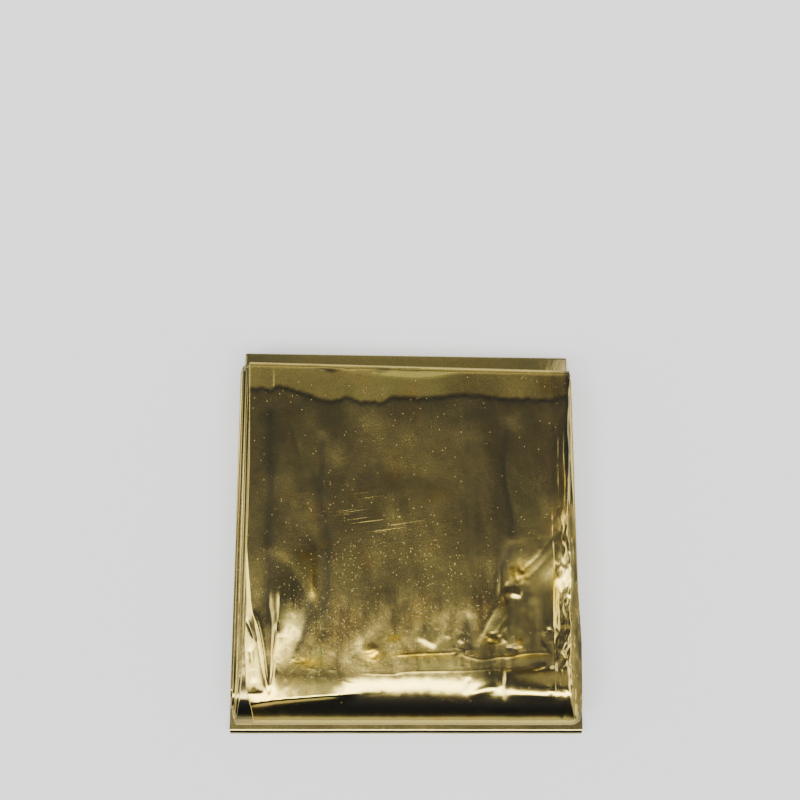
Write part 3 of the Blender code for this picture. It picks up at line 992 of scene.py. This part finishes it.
def film_material(name, look, finish):
    """Gold film with a silver inner face, scuffed and crinkled as its finish says."""
    material = bpy.data.materials.new(name)
    material.use_nodes = True
    nodes = Nodes(material.node_tree)
    shader = material.node_tree.nodes["Principled BSDF"]
    place = nodes.add("ShaderNodeTexCoord").outputs["Object"]
    height = nodes.parts(place)["Y"]
    panel = nodes.ranged(height, *SPINE_FADE)
    dusty = nodes.length(nodes.mapping(place, DUSTY_SCALE, shift=DUSTY_SHIFT))
    dusty = nodes.times(panel, nodes.ranged(dusty, 0.3, 1.3, 1.0, 0.10))
    specks = nodes.group(film_specks, place, Amount=nodes.times(dusty, finish.specks))
    rubbed = nodes.length(nodes.mapping(place, RUBBED_SCALE, shift=RUBBED_SHIFT))
    rubbed = nodes.ranged(rubbed, 0.45, 1.1, 1.0, 0.06)
    scratches = nodes.group(film_scratches, place, Amount=nodes.times(rubbed, finish.scratches))
    marks = nodes.maths("ADD", specks, scratches, clamp=True)
    gold = film_gold(nodes, look, place, height, marks)
    inside = nodes.add("ShaderNodeNewGeometry").outputs["Backfacing"]
    nodes.put(shader, "Base Color", nodes.blend(inside, gold, look.silver))
    haze = nodes.ranged(nodes.noise(place, HAZE_CELLS, 4.0, 0.65), 0.35, 0.75, 0.0, HAZE_ROUGHNESS)
    rough = nodes.plus(nodes.times(haze, panel), nodes.times(marks, MARK_ROUGHNESS))
    nodes.put(shader, "Roughness", nodes.plus(rough, look.roughness))
    nodes.put(shader, "Metallic", nodes.less(1.0, specks))
    nodes.put(shader, "Specular Tint", look.edge_gold)
    nodes.put(shader, "Coat Weight", look.haze)
    nodes.put(shader, "Coat Roughness", COAT_ROUGHNESS)
    hem = nodes.ranged(height, *HEM_FADE, 1.0, 0.3)
    ripples = nodes.times(nodes.times(panel, hem), finish.ripples)
    dents = nodes.times(nodes.plus(panel, 0.15), finish.dents)
    relief = nodes.add("ShaderNodeBump")
    nodes.put(relief, "Strength", 1.0)
    nodes.put(relief, "Distance", finish.crinkle)
    nodes.put(relief, "Height", nodes.group(film_crinkle, place, Ripples=ripples, Dents=dents))
    nodes.put(shader, "Normal", relief.outputs["Normal"])
    return material


class BLANKET_OT_plies(bpy.types.Operator):
    """Builds every ply of the folded sheet"""

    bl_idname = "blanket.plies"
    bl_label = "Add the plies"

    FLAT_POINTS = 9
    SPINE_POINTS = 16
    FOLD_POINTS = 5
    PLY_POINTS = 5
    TURN_POINTS = 4
    END_POINTS = 3
    EDGE_STRAY = 0.4 * MM
    STRAY_ROWS = 6
    WAVE = 0.12 * MM
    WAVE_RISE = 4.0 * MM
    # Painted shade of the plies: all over, along their side folds, and toward the open end and the spine
    # end
    DULL = 0.2
    DULL_EDGE = 0.65
    DULL_OPEN_END = 0.4
    DULL_SPINE_END = 0.25
    OPEN_END_FADE = (45, 1)
    SPINE_END_FADE = (-40, -3)

    def ply_slots(self, plies):
        """Where each ply lies in the strand, counted from its inner face: the strip is rolled up flat."""
        slots = [0.0] * plies
        outer, inner = plies, 1
        for ply in range(plies):
            if ply % 2 == 0:
                slots[ply] = outer
                outer -= 1
            else:
                slots[ply] = inner
                inner += 1
        return slots

    def cross_section(self, plies, thick):
        """The strand cut across: each column's share of the width, its depth, its bulge and its ply."""
        slots = [slot / plies * thick for slot in self.ply_slots(plies)]
        section = []
        for ply, depth in enumerate(slots):
            for step in range(self.PLY_POINTS):
                share = step / self.PLY_POINTS
                section.append((share if ply % 2 == 0 else 1 - share, depth, 0.0, ply))
            if ply == plies - 1:
                section.append((float(ply % 2 == 0), depth, 0.0, ply))
                continue
            following = slots[ply + 1]
            for step in range(self.TURN_POINTS):
                angle = pi * step / self.TURN_POINTS
                height = mix(depth, following, (1 - cos(angle)) / 2)
                bulge = sin(angle) * abs(depth - following) / 2
                section.append((float(ply % 2 == 0), height, bulge, ply + step / self.TURN_POINTS))
        return section

    def edge_stray(self, generator, rows, count):
        """How far each side fold strays along the strip, one column for each fold."""
        anchors = generator.uniform(-self.EDGE_STRAY, 0.0, (rows // self.STRAY_ROWS + 2, count))
        places = np.linspace(0, len(anchors) - 1, rows)
        return np.stack([np.interp(places, np.arange(len(anchors)), a) for a in anchors.T], axis=1)

    def strand(self, folding, route, plies, side):
        """Grid of one of the two strands of the doubled strip, all its plies side by side."""
        y, z, normal_y, normal_z, fall, left_in, right_in = columns_of(route)
        generator = np.random.default_rng(SEED + int(side))
        stray = self.edge_stray(generator, len(route), plies + 1)
        columns = []
        for across, depth, bulge, ply in self.cross_section(plies, folding.thick / 2):
            y_here = y + normal_y * depth * side
            z_here = z + normal_z * depth * side
            half = half_width(y_here)
            left = left_in - half
            right = half - right_in
            fold = min(int(ply) + int(across == (int(ply) % 2 == 0)), plies)
            outward = 1.0 if across > 0.5 else -1.0
            strayed = outward * (stray[:, fold : fold + 1] + bulge) * abs(2 * across - 1)
            x_here = mix(left, right, across) + strayed
            columns.append(folding.settle(x_here, y_here, z_here, fall, 1.0))
        return np.concatenate([c[:, :1] for c in columns], axis=1)

    def execute(self, context):
        scene = context.scene
        sizes = scene.blanket_fold
        folding = Folding(sizes)
        route = folding.whole_route(self.FLAT_POINTS, self.SPINE_POINTS, self.FOLD_POINTS)
        upper = self.strand(folding, route, sizes.width_plies, 1.0)
        lower = self.strand(folding, route, sizes.width_plies, -1.0)
        first = (upper[0] + lower[0]) / 2
        turn = []
        for step in range(1, self.END_POINTS + 1):
            angle = pi * step / (self.END_POINTS + 1)
            radius = (lower[0] - upper[0]) / 2
            ring = first - radius * cos(angle)
            ring[:, 1] += np.linalg.norm(radius, axis=1) * sin(angle)
            turn.append(ring[None])
        grid = np.concatenate([upper[::-1], *turn, lower], axis=0)
        wave = lattice_noise(grid[..., 0], grid[..., 2] * 9, 14 * MM, 11 * MM, SEED)
        grid[..., 2] += wave * self.WAVE * np.clip(grid[..., 2] / self.WAVE_RISE, 0.0, 1.0)
        film = film_material("gold_film_plies", scene.blanket_film, PLIES_FINISH)
        painted_shade = self.dulling(grid, sizes)
        piece = sheet_object("foil_plies", grid, film, painted_shade, 0 * painted_shade)
        declare(piece)
        return {"FINISHED"}

    def dulling(self, grid, sizes):
        """Painted shade on the plies: most along their side folds, and at the two ends."""
        section = self.cross_section(sizes.width_plies, 1.0)
        edge = np.array([abs(2 * share - 1) ** 3 for share, depth, bulge, ply in section])
        shade = np.random.default_rng(SEED + 40).uniform(0.1, 1.0, sizes.width_plies + 1)
        shade = np.array([shade[round(ply)] for share, depth, bulge, ply in section])
        blotch = 0.7 + 0.3 * lattice_noise(grid[..., 1], grid[..., 2], 12 * MM, 2 * MM, SEED + 41)
        painted_shade = self.DULL + self.DULL_EDGE * (edge * shade)[None, :] * blotch
        painted_shade += self.DULL_OPEN_END * fade(grid[..., 1], *self.OPEN_END_FADE)
        return painted_shade + self.DULL_SPINE_END * fade(grid[..., 1], *self.SPINE_END_FADE)


# Side strip of the front panel: how far its surface lies below the panel, in mm, at each distance
# from the crease at the panel's right side
StripPoint = namedtuple("StripPoint", "away drop")
STRIP_TABLE = table_rows(
    StripPoint,
    (0.0, 0.0), (0.25, -0.02), (0.5, 0.02), (1.3, 0.04), (2.2, 0.07), (2.6, 0.05), (3.2, 0.07),
    (3.8, 0.09), (4.6, 0.14), (5.2, 0.45), (6.0, 1.1), (7.8, 2.4),
)

# The bright bar that lies along the crease: its slope, its width and its two ends
BAR_SLOPE = 0.19
BAR_WIDTH = 1.5 * MM
BAR_LOW_FADE = (-22, 1.2)
BAR_HIGH_FADE = (-6, -10)

# The strip is calm up to where its crumples build up, and its outer side is crumpled more deeply
BUSY_FADE = (16, -12)
CALM_FACETS = 0.12
CALM_DROP = 0.3
OUTER_FADE = (4.2, 1)
OUTER_FACETS = 3.0

# Crumpled patches of the front panel, in mm: middle, half size, size of the facets and their height
Patch = namedtuple("Patch", "x y half_x half_y cell height")
PATCH_TABLE = table_rows(
    Patch,
    (29.8, -7.2, 3.4, 2.6, 0.7, 0.04),
    (27.0, -12.5, 2.4, 3.2, 0.9, 0.03),
    (23.6, -24.6, 3.0, 2.2, 0.8, 0.05),
    (1.8, 29.8, 1.6, 1.4, 0.6, 0.03),
    (-8.9, -29.0, 2.2, 2.4, 0.6, 0.02),
    (-28.5, -30.4, 3.5, 1.6, 0.7, 0.012),
    (37.5, -24.5, 2.0, 6.0, 1.2, 0.06),
    (35.0, 2.0, 4.5, 3.5, 1.1, 0.018),
    (14.0, -28.0, 3.0, 1.6, 0.8, 0.05),
    (-41.0, -30.0, 1.5, 10.0, 1.6, 0.03),
)


def patch_height(patch, x, y):
    """Facets of one crumpled patch, fading out to its edge."""
    away = np.hypot((x - patch.x * MM) / (patch.half_x * MM), (y - patch.y * MM) / (patch.half_y * MM))
    share = smooth_step(2.2 * (1 - away))
    cell = patch.cell * MM
    return patch.height * MM * share * facet_noise(x, y, cell, cell * 1.3, SEED + 30)


# Unevenness of the film, in mm: its height, the size of its cells across and along, and its seed
Wave = namedtuple("Wave", "height across along seed")
PANEL_WAVES = table_rows(Wave, (0.035, 3.5, 14.0, 1), (0.014, 1.7, 6.0, 2), (0.05, 8.0, 9.0, 7))
LOW_WAVE = Wave(0.040, 1.5, 9.0, 12)
FINE_FACETS = Wave(0.009, 1.2, 1.7, 13)
LOW_FADE = (-8, -14)
UPPER_FACETS = 0.25
STRIP_WANDER = Wave(0.35, 7.0, 1.0, 3)
STRIP_LONG_FACETS = Wave(0.05, 1.3, 5.5, 4)
STRIP_SHORT_FACETS = Wave(0.035, 0.9, 1.5, 5)


def wave_height(wave, x, y, noise=lattice_noise):
    """How far one kind of unevenness lifts the film at each place."""
    return wave.height * MM * noise(x, y, wave.across * MM, wave.along * MM, SEED + wave.seed)


# Painted shade on the front panel: along its hem, a painted shadow under it, along the crease at its right
# side and on the strip beyond, and where it turns down, once for each step of its steepness
HEM_LINE_SHADE = 0.55
HEM_SHADOW_SHADE = 0.45
SIDE_CREASE_SHADE = 0.5
SIDE_CREASE_WIDTH = 0.2 * MM
STRIP_SHADE = 0.3
CALM_FADE = (6, 14)
TurnShade = namedtuple("TurnShade", "share steepest reach")
TURN_SHADES = table_rows(TurnShade, (0.32, 0.72, 0.16), (0.38, 0.45, 0.25))


class BLANKET_OT_front(bpy.types.Operator):
    """Builds the outermost ply: the front panel, its spine and its side strip"""

    bl_idname = "blanket.front"
    bl_label = "Add the front panel"

    LIP_COLUMNS = 2
    MARGIN_COLUMNS = 60
    MARGIN_SHARE = 0.17
    FACE_COLUMNS = 164
    STRIP_COLUMNS = 44
    SIDE_COLUMNS = 12
    UNDER_ROWS = 12
    BEND_ROWS = 78
    BEND_CROWDING = 1.5
    LOW_ROWS = 85
    FLAT_ROWS = 158
    OPEN_BEND_ROWS = 12
    INNER_ROWS = 6
    UNDER_START = -18.0 * MM
    LOW_END = -22.0 * MM
    INNER_END = 38.0 * MM
    LIP = 0.25 * MM
    SIDE_DROP = 4.0 * MM
    SIDE_TUCK = 0.6 * MM
    CREASE_INSET = 0.8 * MM
    STRIP_CROWDING = 1.2
    CLOSING_FADE = (47, -5)
    CLOSED_SHARE = 0.25
    PINCH_FADE = (43, 3)
    HEM_RELIEF_END = 30.0 * MM
    MIDDLE_ROW = 150
    MIDDLE_COLUMN = 100

    def route(self, folding):
        """The way of the outermost ply: from under the spine, over the panel, to its top fold."""
        bend_low = folding.bend_start(SPINE_FOLD, SPINE_FOLD.start)
        bend_high = folding.bend_start(SPINE_FOLD, SPINE_FOLD.end)
        open_bend = folding.bend_start(FRONT_FOLD, FRONT_FOLD.start)
        points = folding.straight(SPINE_FOLD.start, self.UNDER_START, bend_low, self.UNDER_ROWS)
        points += folding.bend(SPINE_FOLD, self.BEND_ROWS, self.BEND_CROWDING)
        points += folding.straight(SPINE_FOLD.end, bend_high, self.LOW_END, self.LOW_ROWS)
        points += folding.straight(SPINE_FOLD.end, self.LOW_END, open_bend, self.FLAT_ROWS)
        points += folding.bend(FRONT_FOLD, self.OPEN_BEND_ROWS)
        points += folding.straight(FRONT_FOLD.end, open_bend, self.INNER_END, self.INNER_ROWS)
        return points

    def across(self):
        """Shares across the face from 0 to 1, then over the strip to 2, and down the side to 3."""
        lip = np.linspace(-1.0, 0.0, self.LIP_COLUMNS, endpoint=False)
        margin = np.linspace(0.0, self.MARGIN_SHARE, self.MARGIN_COLUMNS, endpoint=False)
        face = np.linspace(self.MARGIN_SHARE, 1.0, self.FACE_COLUMNS, endpoint=False)
        strip = np.linspace(1.0, 2.0, self.STRIP_COLUMNS, endpoint=False)
        side = np.linspace(2.0, 3.0, self.SIDE_COLUMNS)
        return np.concatenate([lip, margin, face, strip, side])[None, :]

    def edges(self, y, left_in, right_in, above):
        """Where the panel's left edge, its right crease and its outer side lie at each height."""
        table = sorted(EDGE_TABLE, key=lambda row: row.y)
        heights = np.array([row.y for row in table]) * MM
        left, crease, right = (
            np.interp(y, heights, np.array([getattr(row, side) for row in table]) * MM)
            for side in ("left", "crease", "right")
        )
        half = half_width(y)
        left = mix(left_in - half, left, above)
        crease = mix(half - right_in - self.CREASE_INSET, crease, above)
        return left, crease, mix(half - right_in, right, above)

    def strip_relief(self, away, y, strip, side):
        """Upright folds and crumples of the strip at the right side, crumpled more toward the spine."""
        shifted = away + wave_height(STRIP_WANDER, y, 0 * away) * smooth_step(strip * 3)
        drop = np.interp(shifted, [p.away * MM for p in STRIP_TABLE], [p.drop * MM for p in STRIP_TABLE])
        bar = fade(y, *BAR_LOW_FADE) * fade(y, *BAR_HIGH_FADE)
        drop = drop + bar * BAR_SLOPE * np.clip(away, 0.0, BAR_WIDTH)
        busy = mix(CALM_FACETS, 1.0, fade(y, *BUSY_FADE))
        drop = drop * mix(CALM_DROP, 1.0, busy)
        place = away + side * 3 * MM
        facets = wave_height(STRIP_LONG_FACETS, place, y, facet_noise) * mix(CALM_FACETS, 1.0, busy)
        facets += wave_height(STRIP_SHORT_FACETS, place, y, facet_noise) * busy
        return smooth_step(strip * 8) * mix(1.0, OUTER_FACETS, fade(away, *OUTER_FADE)) * facets - drop

    def panel_relief(self, x, y):
        """Height of the panel's creases, swellings and crumples, and how deep its sharp troughs are."""
        lifts = [crease_height(c, x, y) for c in CREASES]
        troughs = sum(np.clip(-lift, 0.0, None) for lift, c in zip(lifts, CREASES) if c.sharp)
        relief = sum(lifts)
        relief += sum(pillow_height(p, x, y) for p in PILLOW_TABLE)
        relief += sum(patch_height(p, x, y) for p in PATCH_TABLE)
        relief += sum(wave_height(w, x, y) for w in PANEL_WAVES)
        low = fade(y, *LOW_FADE)
        relief += low * wave_height(LOW_WAVE, x, y)
        relief += mix(UPPER_FACETS, 1.0, low) * wave_height(FINE_FACETS, x, y, facet_noise)
        relief -= np.exp(-((hem_place(x, y) / HEM_CREASE_WIDTH) ** 2)) * HEM_CREASE_DEPTH
        return relief, troughs

    def panel_shade(self, x, y, away, strip, troughs):
        """Painted shade of the panel at its hem, in its troughs and along its strip."""
        below = -hem_place(x, y)
        shade = HEM_LINE_SHADE * np.exp(-((below / HEM_CREASE_WIDTH) ** 2))
        shade += HEM_SHADOW_SHADE * np.exp(-below / HEM_SHADOW_WIDTH) * (below > 0)
        shade *= 1 - 0.6 * smooth_step(strip * 4)
        side_crease = SIDE_CREASE_SHADE * np.exp(-((away / SIDE_CREASE_WIDTH) ** 2)) * (strip > 0)
        shade += fade(y, *CALM_FADE) * (STRIP_SHADE * smooth_step(strip * 8) + side_crease)
        return shade + TROUGH_SHADE * np.clip(troughs / FULL_SHADE_DEPTH, 0.0, 1.0)

    def execute(self, context):
        scene = context.scene
        sizes = scene.blanket_fold
        folding = Folding(sizes)
        y, z, normal_y, normal_z, fall, left_in, right_in = columns_of(self.route(folding))
        out_y = -normal_y
        out_z = -normal_z
        stand_off = sizes.layer_thick / 2 + sizes.clearance
        y0 = y + out_y * stand_off
        z0 = z + out_z * stand_off
        above = smooth_step((z0 - folding.total * 0.25) / (folding.total * 0.3))
        top = smooth_step((out_z - 0.15) / 0.5) * smooth_step((z0 - folding.total * 0.6) / (2 * MM))
        left, crease, right = self.edges(y0, left_in, right_in, above)
        along = self.across()
        face = np.clip(along, 0.0, 1.0)
        strip = np.clip(along - 1.0, 0.0, 1.0)
        side = np.clip(along - 2.0, 0.0, 1.0)
        lip = np.clip(-along, 0.0, 1.0)
        away = (right - crease) * (1 - (1 - strip) ** self.STRIP_CROWDING)
        x = left + (crease - left) * face + away + lip * self.LIP - side**2 * self.SIDE_TUCK
        level_y = y0 + 0 * x

        relief, troughs = self.panel_relief(x, level_y)
        relief *= top * sizes.relief
        room = mix(self.CLOSED_SHARE, 1.0, fade(y0, *self.CLOSING_FADE))
        relief += self.strip_relief(away, level_y, strip, side) * room * mix(0.5, 1.0, above)
        relief -= side * self.SIDE_DROP * room * mix(0.3, 1.0, above) + lip * self.LIP
        relief *= np.where(y0 > self.HEM_RELIEF_END, np.clip(out_z, 0.0, 1.0), 1.0)

        # At the open end the side closes down to the fold's inside, so that no gap shows there
        pinched = side * smooth_step(2 * (1 - out_z)) * fade(y0, *self.PINCH_FADE)
        between = (folding.middle(FRONT_FOLD.start) + folding.middle(FRONT_FOLD.end)) / 2
        y1 = mix(y0 + out_y * relief, folding.bend_start(FRONT_FOLD, FRONT_FOLD.start), pinched)
        z1 = mix(z0 + out_z * relief, between, pinched)
        grid = folding.settle(x, y1, z1, fall)

        # Painted shade: the panel's own, then where it turns down, then patchy over the strip's outer half
        painted_shade = self.panel_shade(x, level_y, away, strip, troughs) * top
        for turn in TURN_SHADES:
            painted_shade += turn.share * (1 - smooth_step((out_z - turn.steepest) / turn.reach))
        patchy_strip_shade = 0.62 + 0.38 * lattice_noise(away, level_y, 0.8 * MM, 3 * MM, SEED + 14)
        painted_shade += patchy_strip_shade * smooth_step((strip - 0.55) * 4) * above
        # Painted reflection in the listed spots
        painted_reflection = sum(spot_share(s, x, level_y) for s in REFLECTION_SPOTS) * top
        film = film_material("gold_film_front", scene.blanket_film, FRONT_FINISH)
        piece = sheet_object("foil_front", grid, film, painted_shade, painted_reflection)
        declare(piece)
        return {"FINISHED"}


class BLANKET_OT_back(bpy.types.Operator):
    """Builds the outermost ply of the back: the underside, its lower fold and its upper edge"""

    bl_idname = "blanket.back"
    bl_label = "Add the back panel"

    COLUMNS = 120
    TURN_ROWS = 16
    END_ROWS = 8
    UNDER_ROWS = 90
    NEAR_BEND_ROWS = 5
    BEND_ROWS = 14
    PAST_BEND_ROWS = 12
    INNER_ROWS = 68
    NEAR_BEND = 1 * MM
    PAST_BEND = 3 * MM
    INNER_START = 36 * MM
    INNER_END = 30 * MM
    FLAT_WIDTH = 89.5 * MM
    OVERHANG = 0.1 * MM
    LIFT = 0.02 * MM
    WAVE = 0.06 * MM
    END_DROP = 0.3 * MM
    END_DROP_FADE = (44.5, 5)
    TUCK = 0.05 * MM
    # Painted shade of the back ply: under it, on its upper part from the spine side to the open side, and
    # at its bend
    DULL_UNDER = 0.1
    DULL_SPINE_SIDE = 0.42
    DULL_OPEN_SIDE = 0.2
    DULL_FADE = (-20, 20)
    DULL_BEND = 0.5

    def route(self, folding, radius):
        """The way of the outermost ply: over the free edge, along the underside and round its fold."""
        end = LAYER_TABLE[0].open_end * MM - radius
        bend = folding.bend_start(BACK_FOLD, BACK_FOLD.start)
        near_bend = bend + self.NEAR_BEND
        past_bend = bend + self.PAST_BEND
        under = folding.straight(BACK_FOLD.start, end, near_bend, self.UNDER_ROWS)
        under += folding.straight(BACK_FOLD.start, near_bend, bend, self.NEAR_BEND_ROWS)
        under += folding.bend(BACK_FOLD, self.BEND_ROWS)
        under += folding.straight(BACK_FOLD.end, bend, past_bend, self.PAST_BEND_ROWS)
        under += folding.straight(BACK_FOLD.end, past_bend, self.INNER_END, self.INNER_ROWS)
        middle = folding.middle(BACK_FOLD.start)
        values = folding.edge_values(BACK_FOLD.start)
        route = []
        for y in np.linspace(self.INNER_START, end, self.TURN_ROWS, endpoint=False):
            route.append((y, middle + radius, 0.0, 1.0, *values))
        for angle in np.linspace(0.0, pi, self.END_ROWS, endpoint=False):
            turn = (sin(angle), cos(angle))
            route.append((end + turn[0] * radius, middle + turn[1] * radius, *turn, *values))
        for p in under:
            place = (p.y - p.normal_y * radius, p.z - p.normal_z * radius)
            route.append((*place, -p.normal_y, -p.normal_z, *p[4:]))
        return route, bend

    def execute(self, context):
        scene = context.scene
        sizes = scene.blanket_fold
        folding = Folding(sizes)
        route, bend = self.route(folding, sizes.layer_thick / 2)
        y, z, out_y, out_z, fall, left_in, right_in = columns_of(route)
        half = half_width(y)
        across = np.linspace(0.0, 1.0, self.COLUMNS)[None, :]
        x = mix(left_in - half - self.OVERHANG, half - right_in + self.OVERHANG, across)
        level_y = y + 0 * x
        on_top = smooth_step(out_z * 2)
        on_underside = smooth_step((-out_z - 0.5) * 2)
        away = self.LIFT + on_top * self.WAVE * (1 + lattice_noise(x, level_y, 5 * MM, 9 * MM, SEED + 8))
        z1 = np.maximum(z + out_z * away, 0.0) - fade(y, *self.END_DROP_FADE) * on_top * self.END_DROP
        z1 += on_underside * self.TUCK * (1 + lattice_noise(x, level_y, 9 * MM, 14 * MM, SEED + 9))
        grid = folding.settle(x, y + out_y * away, z1, fall)
        # Painted shade: little on the underside, more on top toward the spine, most past the bend
        upper = mix(self.DULL_SPINE_SIDE, self.DULL_OPEN_SIDE, fade(y, *self.DULL_FADE))
        painted_shade = mix(self.DULL_UNDER, upper, on_top) + 0 * x
        painted_shade += self.DULL_BEND * smooth_step((bend - y) / (0.3 * MM))
        film = film_material("gold_film_back", scene.blanket_film, BACK_FINISH)
        piece = sheet_object("foil_back", grid, film, painted_shade, 0 * painted_shade)
        declare(piece)
        return {"FINISHED"}


FLOOR_SIZE = 6.0
FLOOR_GAP = 0.05 * MM


def add_stage_floor(stage):
    """A plain pale floor."""
    bpy.ops.object.select_all(action="DESELECT")
    bpy.ops.mesh.primitive_plane_add(size=FLOOR_SIZE, location=(0.0, 0.0, -FLOOR_GAP))
    floor = bpy.context.object
    floor.name = "floor"
    material = bpy.data.materials.new("floor")
    material.use_nodes = True
    shader = material.node_tree.nodes["Principled BSDF"]
    shader.inputs["Base Color"].default_value = stage.floor_colour
    shader.inputs["Roughness"].default_value = 0.9
    shader.inputs["Emission Color"].default_value = (1.0, 1.0, 1.0, 1.0)
    shader.inputs["Emission Strength"].default_value = stage.floor_glow
    floor.data.materials.append(material)


# Soft lights of the studio, as lobes on the sky: the way to each lobe's middle and its spread, both as
# X and Y of a unit direction, how bright it is and how crisp its edge is
Lobe = namedtuple("Lobe", "x y spread_x spread_y light edge")
LIGHT_LOBES = table_rows(
    Lobe,
    (0.0, -0.325, 0.48, 0.112, 12.0, 4.0),
    (-0.06, -0.19, 0.17, 0.10, 0.38, 2.0),
    (0.0, -0.14, 0.12, 0.09, 0.070, 2.0),
    (0.0, 0.34, 0.45, 0.18, 0.31, 4.0),
    (0.0, 0.55, 0.50, 0.12, 0.5, 4.0),
    (-0.46, 0.0, 0.13, 0.50, 4.0, 4.0),
    (0.46, 0.0, 0.13, 0.50, 2.6, 4.0),
    (-0.84, 0.0, 0.07, 0.60, 0.9, 4.0),
    (0.80, 0.0, 0.06, 0.60, 0.7, 4.0),
    (0.0, -1.0, 0.80, 0.045, 0.42, 4.0),
)
DARK_LOBE = Lobe(0.0, -0.73, 0.75, 0.25, 0.98, 8.0)
SKY_STOPS = ((0.0, 0.60), (0.42, 0.50), (0.68, 0.14), (0.88, 0.055), (0.97, 0.030), (1.0, 0.031))


def lobe_light(nodes, x, y, lobe):
    """Light of a soft patch of the sky."""
    away = []
    for value, middle, spread in ((x, lobe.x, lobe.spread_x), (y, lobe.y, lobe.spread_y)):
        share = nodes.maths("ABSOLUTE", nodes.maths("DIVIDE", nodes.less(value, middle), spread))
        away.append(nodes.maths("POWER", share, lobe.edge))
    return nodes.times(nodes.maths("EXPONENT", nodes.times(nodes.plus(*away), -1.0)), lobe.light)


def add_studio_light():
    """Soft light from all round: darker overhead, with soft boxes in front, behind and at the sides."""
    world = bpy.data.worlds.new("studio")
    bpy.context.scene.world = world
    world.use_nodes = True
    nodes = Nodes(world.node_tree)
    x, y, z = nodes.parts(nodes.add("ShaderNodeTexCoord").outputs["Generated"])
    ramp = nodes.add("ShaderNodeValToRGB")
    ramp.color_ramp.interpolation = "EASE"
    elements = ramp.color_ramp.elements
    while len(elements) < len(SKY_STOPS):
        elements.new(0.5)
    for element, (position, value) in zip(elements, SKY_STOPS):
        element.position = position
        element.color = (value, value, value, 1.0)
    nodes.put(ramp, "Fac", z)
    light = nodes.times(ramp.outputs["Color"], nodes.less(1.0, lobe_light(nodes, x, y, DARK_LOBE)))
    for lobe in LIGHT_LOBES:
        light = nodes.plus(light, lobe_light(nodes, x, y, lobe))
    background = world.node_tree.nodes["Background"]
    background.inputs["Color"].default_value = (1.0, 1.0, 1.0, 1.0)
    nodes.put(background, "Strength", light)


def add_camera(stage):
    """A camera straight above the packet, framed as a square picture."""
    data = bpy.data.cameras.new("camera")
    camera = bpy.data.objects.new("camera", data)
    bpy.context.scene.collection.objects.link(camera)
    x, y = stage.frame_centre
    camera.location = (x, y, stage.camera_height)
    data.lens = data.sensor_width * (stage.camera_height - PACKET_TOP) / stage.frame_width
    data.clip_start = 0.01
    bpy.context.scene.camera = camera


class BLANKET_OT_stage(bpy.types.Operator):
    """Builds the floor, the studio light and the camera"""

    bl_idname = "blanket.stage"
    bl_label = "Add the stage"

    def execute(self, context):
        stage = context.scene.blanket_stage
        add_stage_floor(stage)
        add_studio_light()
        add_camera(stage)
        return {"FINISHED"}


class BLANKET_PT_panel(bpy.types.Panel):
    """Lists the steps of the folded blanket"""

    bl_idname = "BLANKET_PT_panel"
    bl_label = "Foil blanket"
    bl_space_type = "VIEW_3D"
    bl_region_type = "UI"
    bl_category = "Foil blanket"

    def draw(self, context):
        scene = context.scene
        for settings in (scene.blanket_fold, scene.blanket_film, scene.blanket_stage):
            for name in settings.__annotations__:
                self.layout.prop(settings, name)
        for step in STEPS:
            self.layout.operator(step.bl_idname)


STEPS = (BLANKET_OT_stage, BLANKET_OT_plies, BLANKET_OT_front, BLANKET_OT_back)
CLASSES = (FoldSizes, FilmLook, StageLook, *STEPS, BLANKET_PT_panel)


def register():
    """Registers the classes and puts the settings on the scene."""
    for one in CLASSES:
        bpy.utils.register_class(one)
    bpy.types.Scene.blanket_fold = PointerProperty(type=FoldSizes)
    bpy.types.Scene.blanket_film = PointerProperty(type=FilmLook)
    bpy.types.Scene.blanket_stage = PointerProperty(type=StageLook)


def unregister():
    """Takes the settings off the scene and the classes out."""
    del bpy.types.Scene.blanket_fold
    del bpy.types.Scene.blanket_film
    del bpy.types.Scene.blanket_stage
    for one in reversed(CLASSES):
        bpy.utils.unregister_class(one)


def main():
    """Builds everything in order."""
    register()
    bpy.ops.blanket.stage()
    bpy.ops.blanket.plies()
    bpy.ops.blanket.front()
    bpy.ops.blanket.back()


if __name__ == "__main__":
    main()
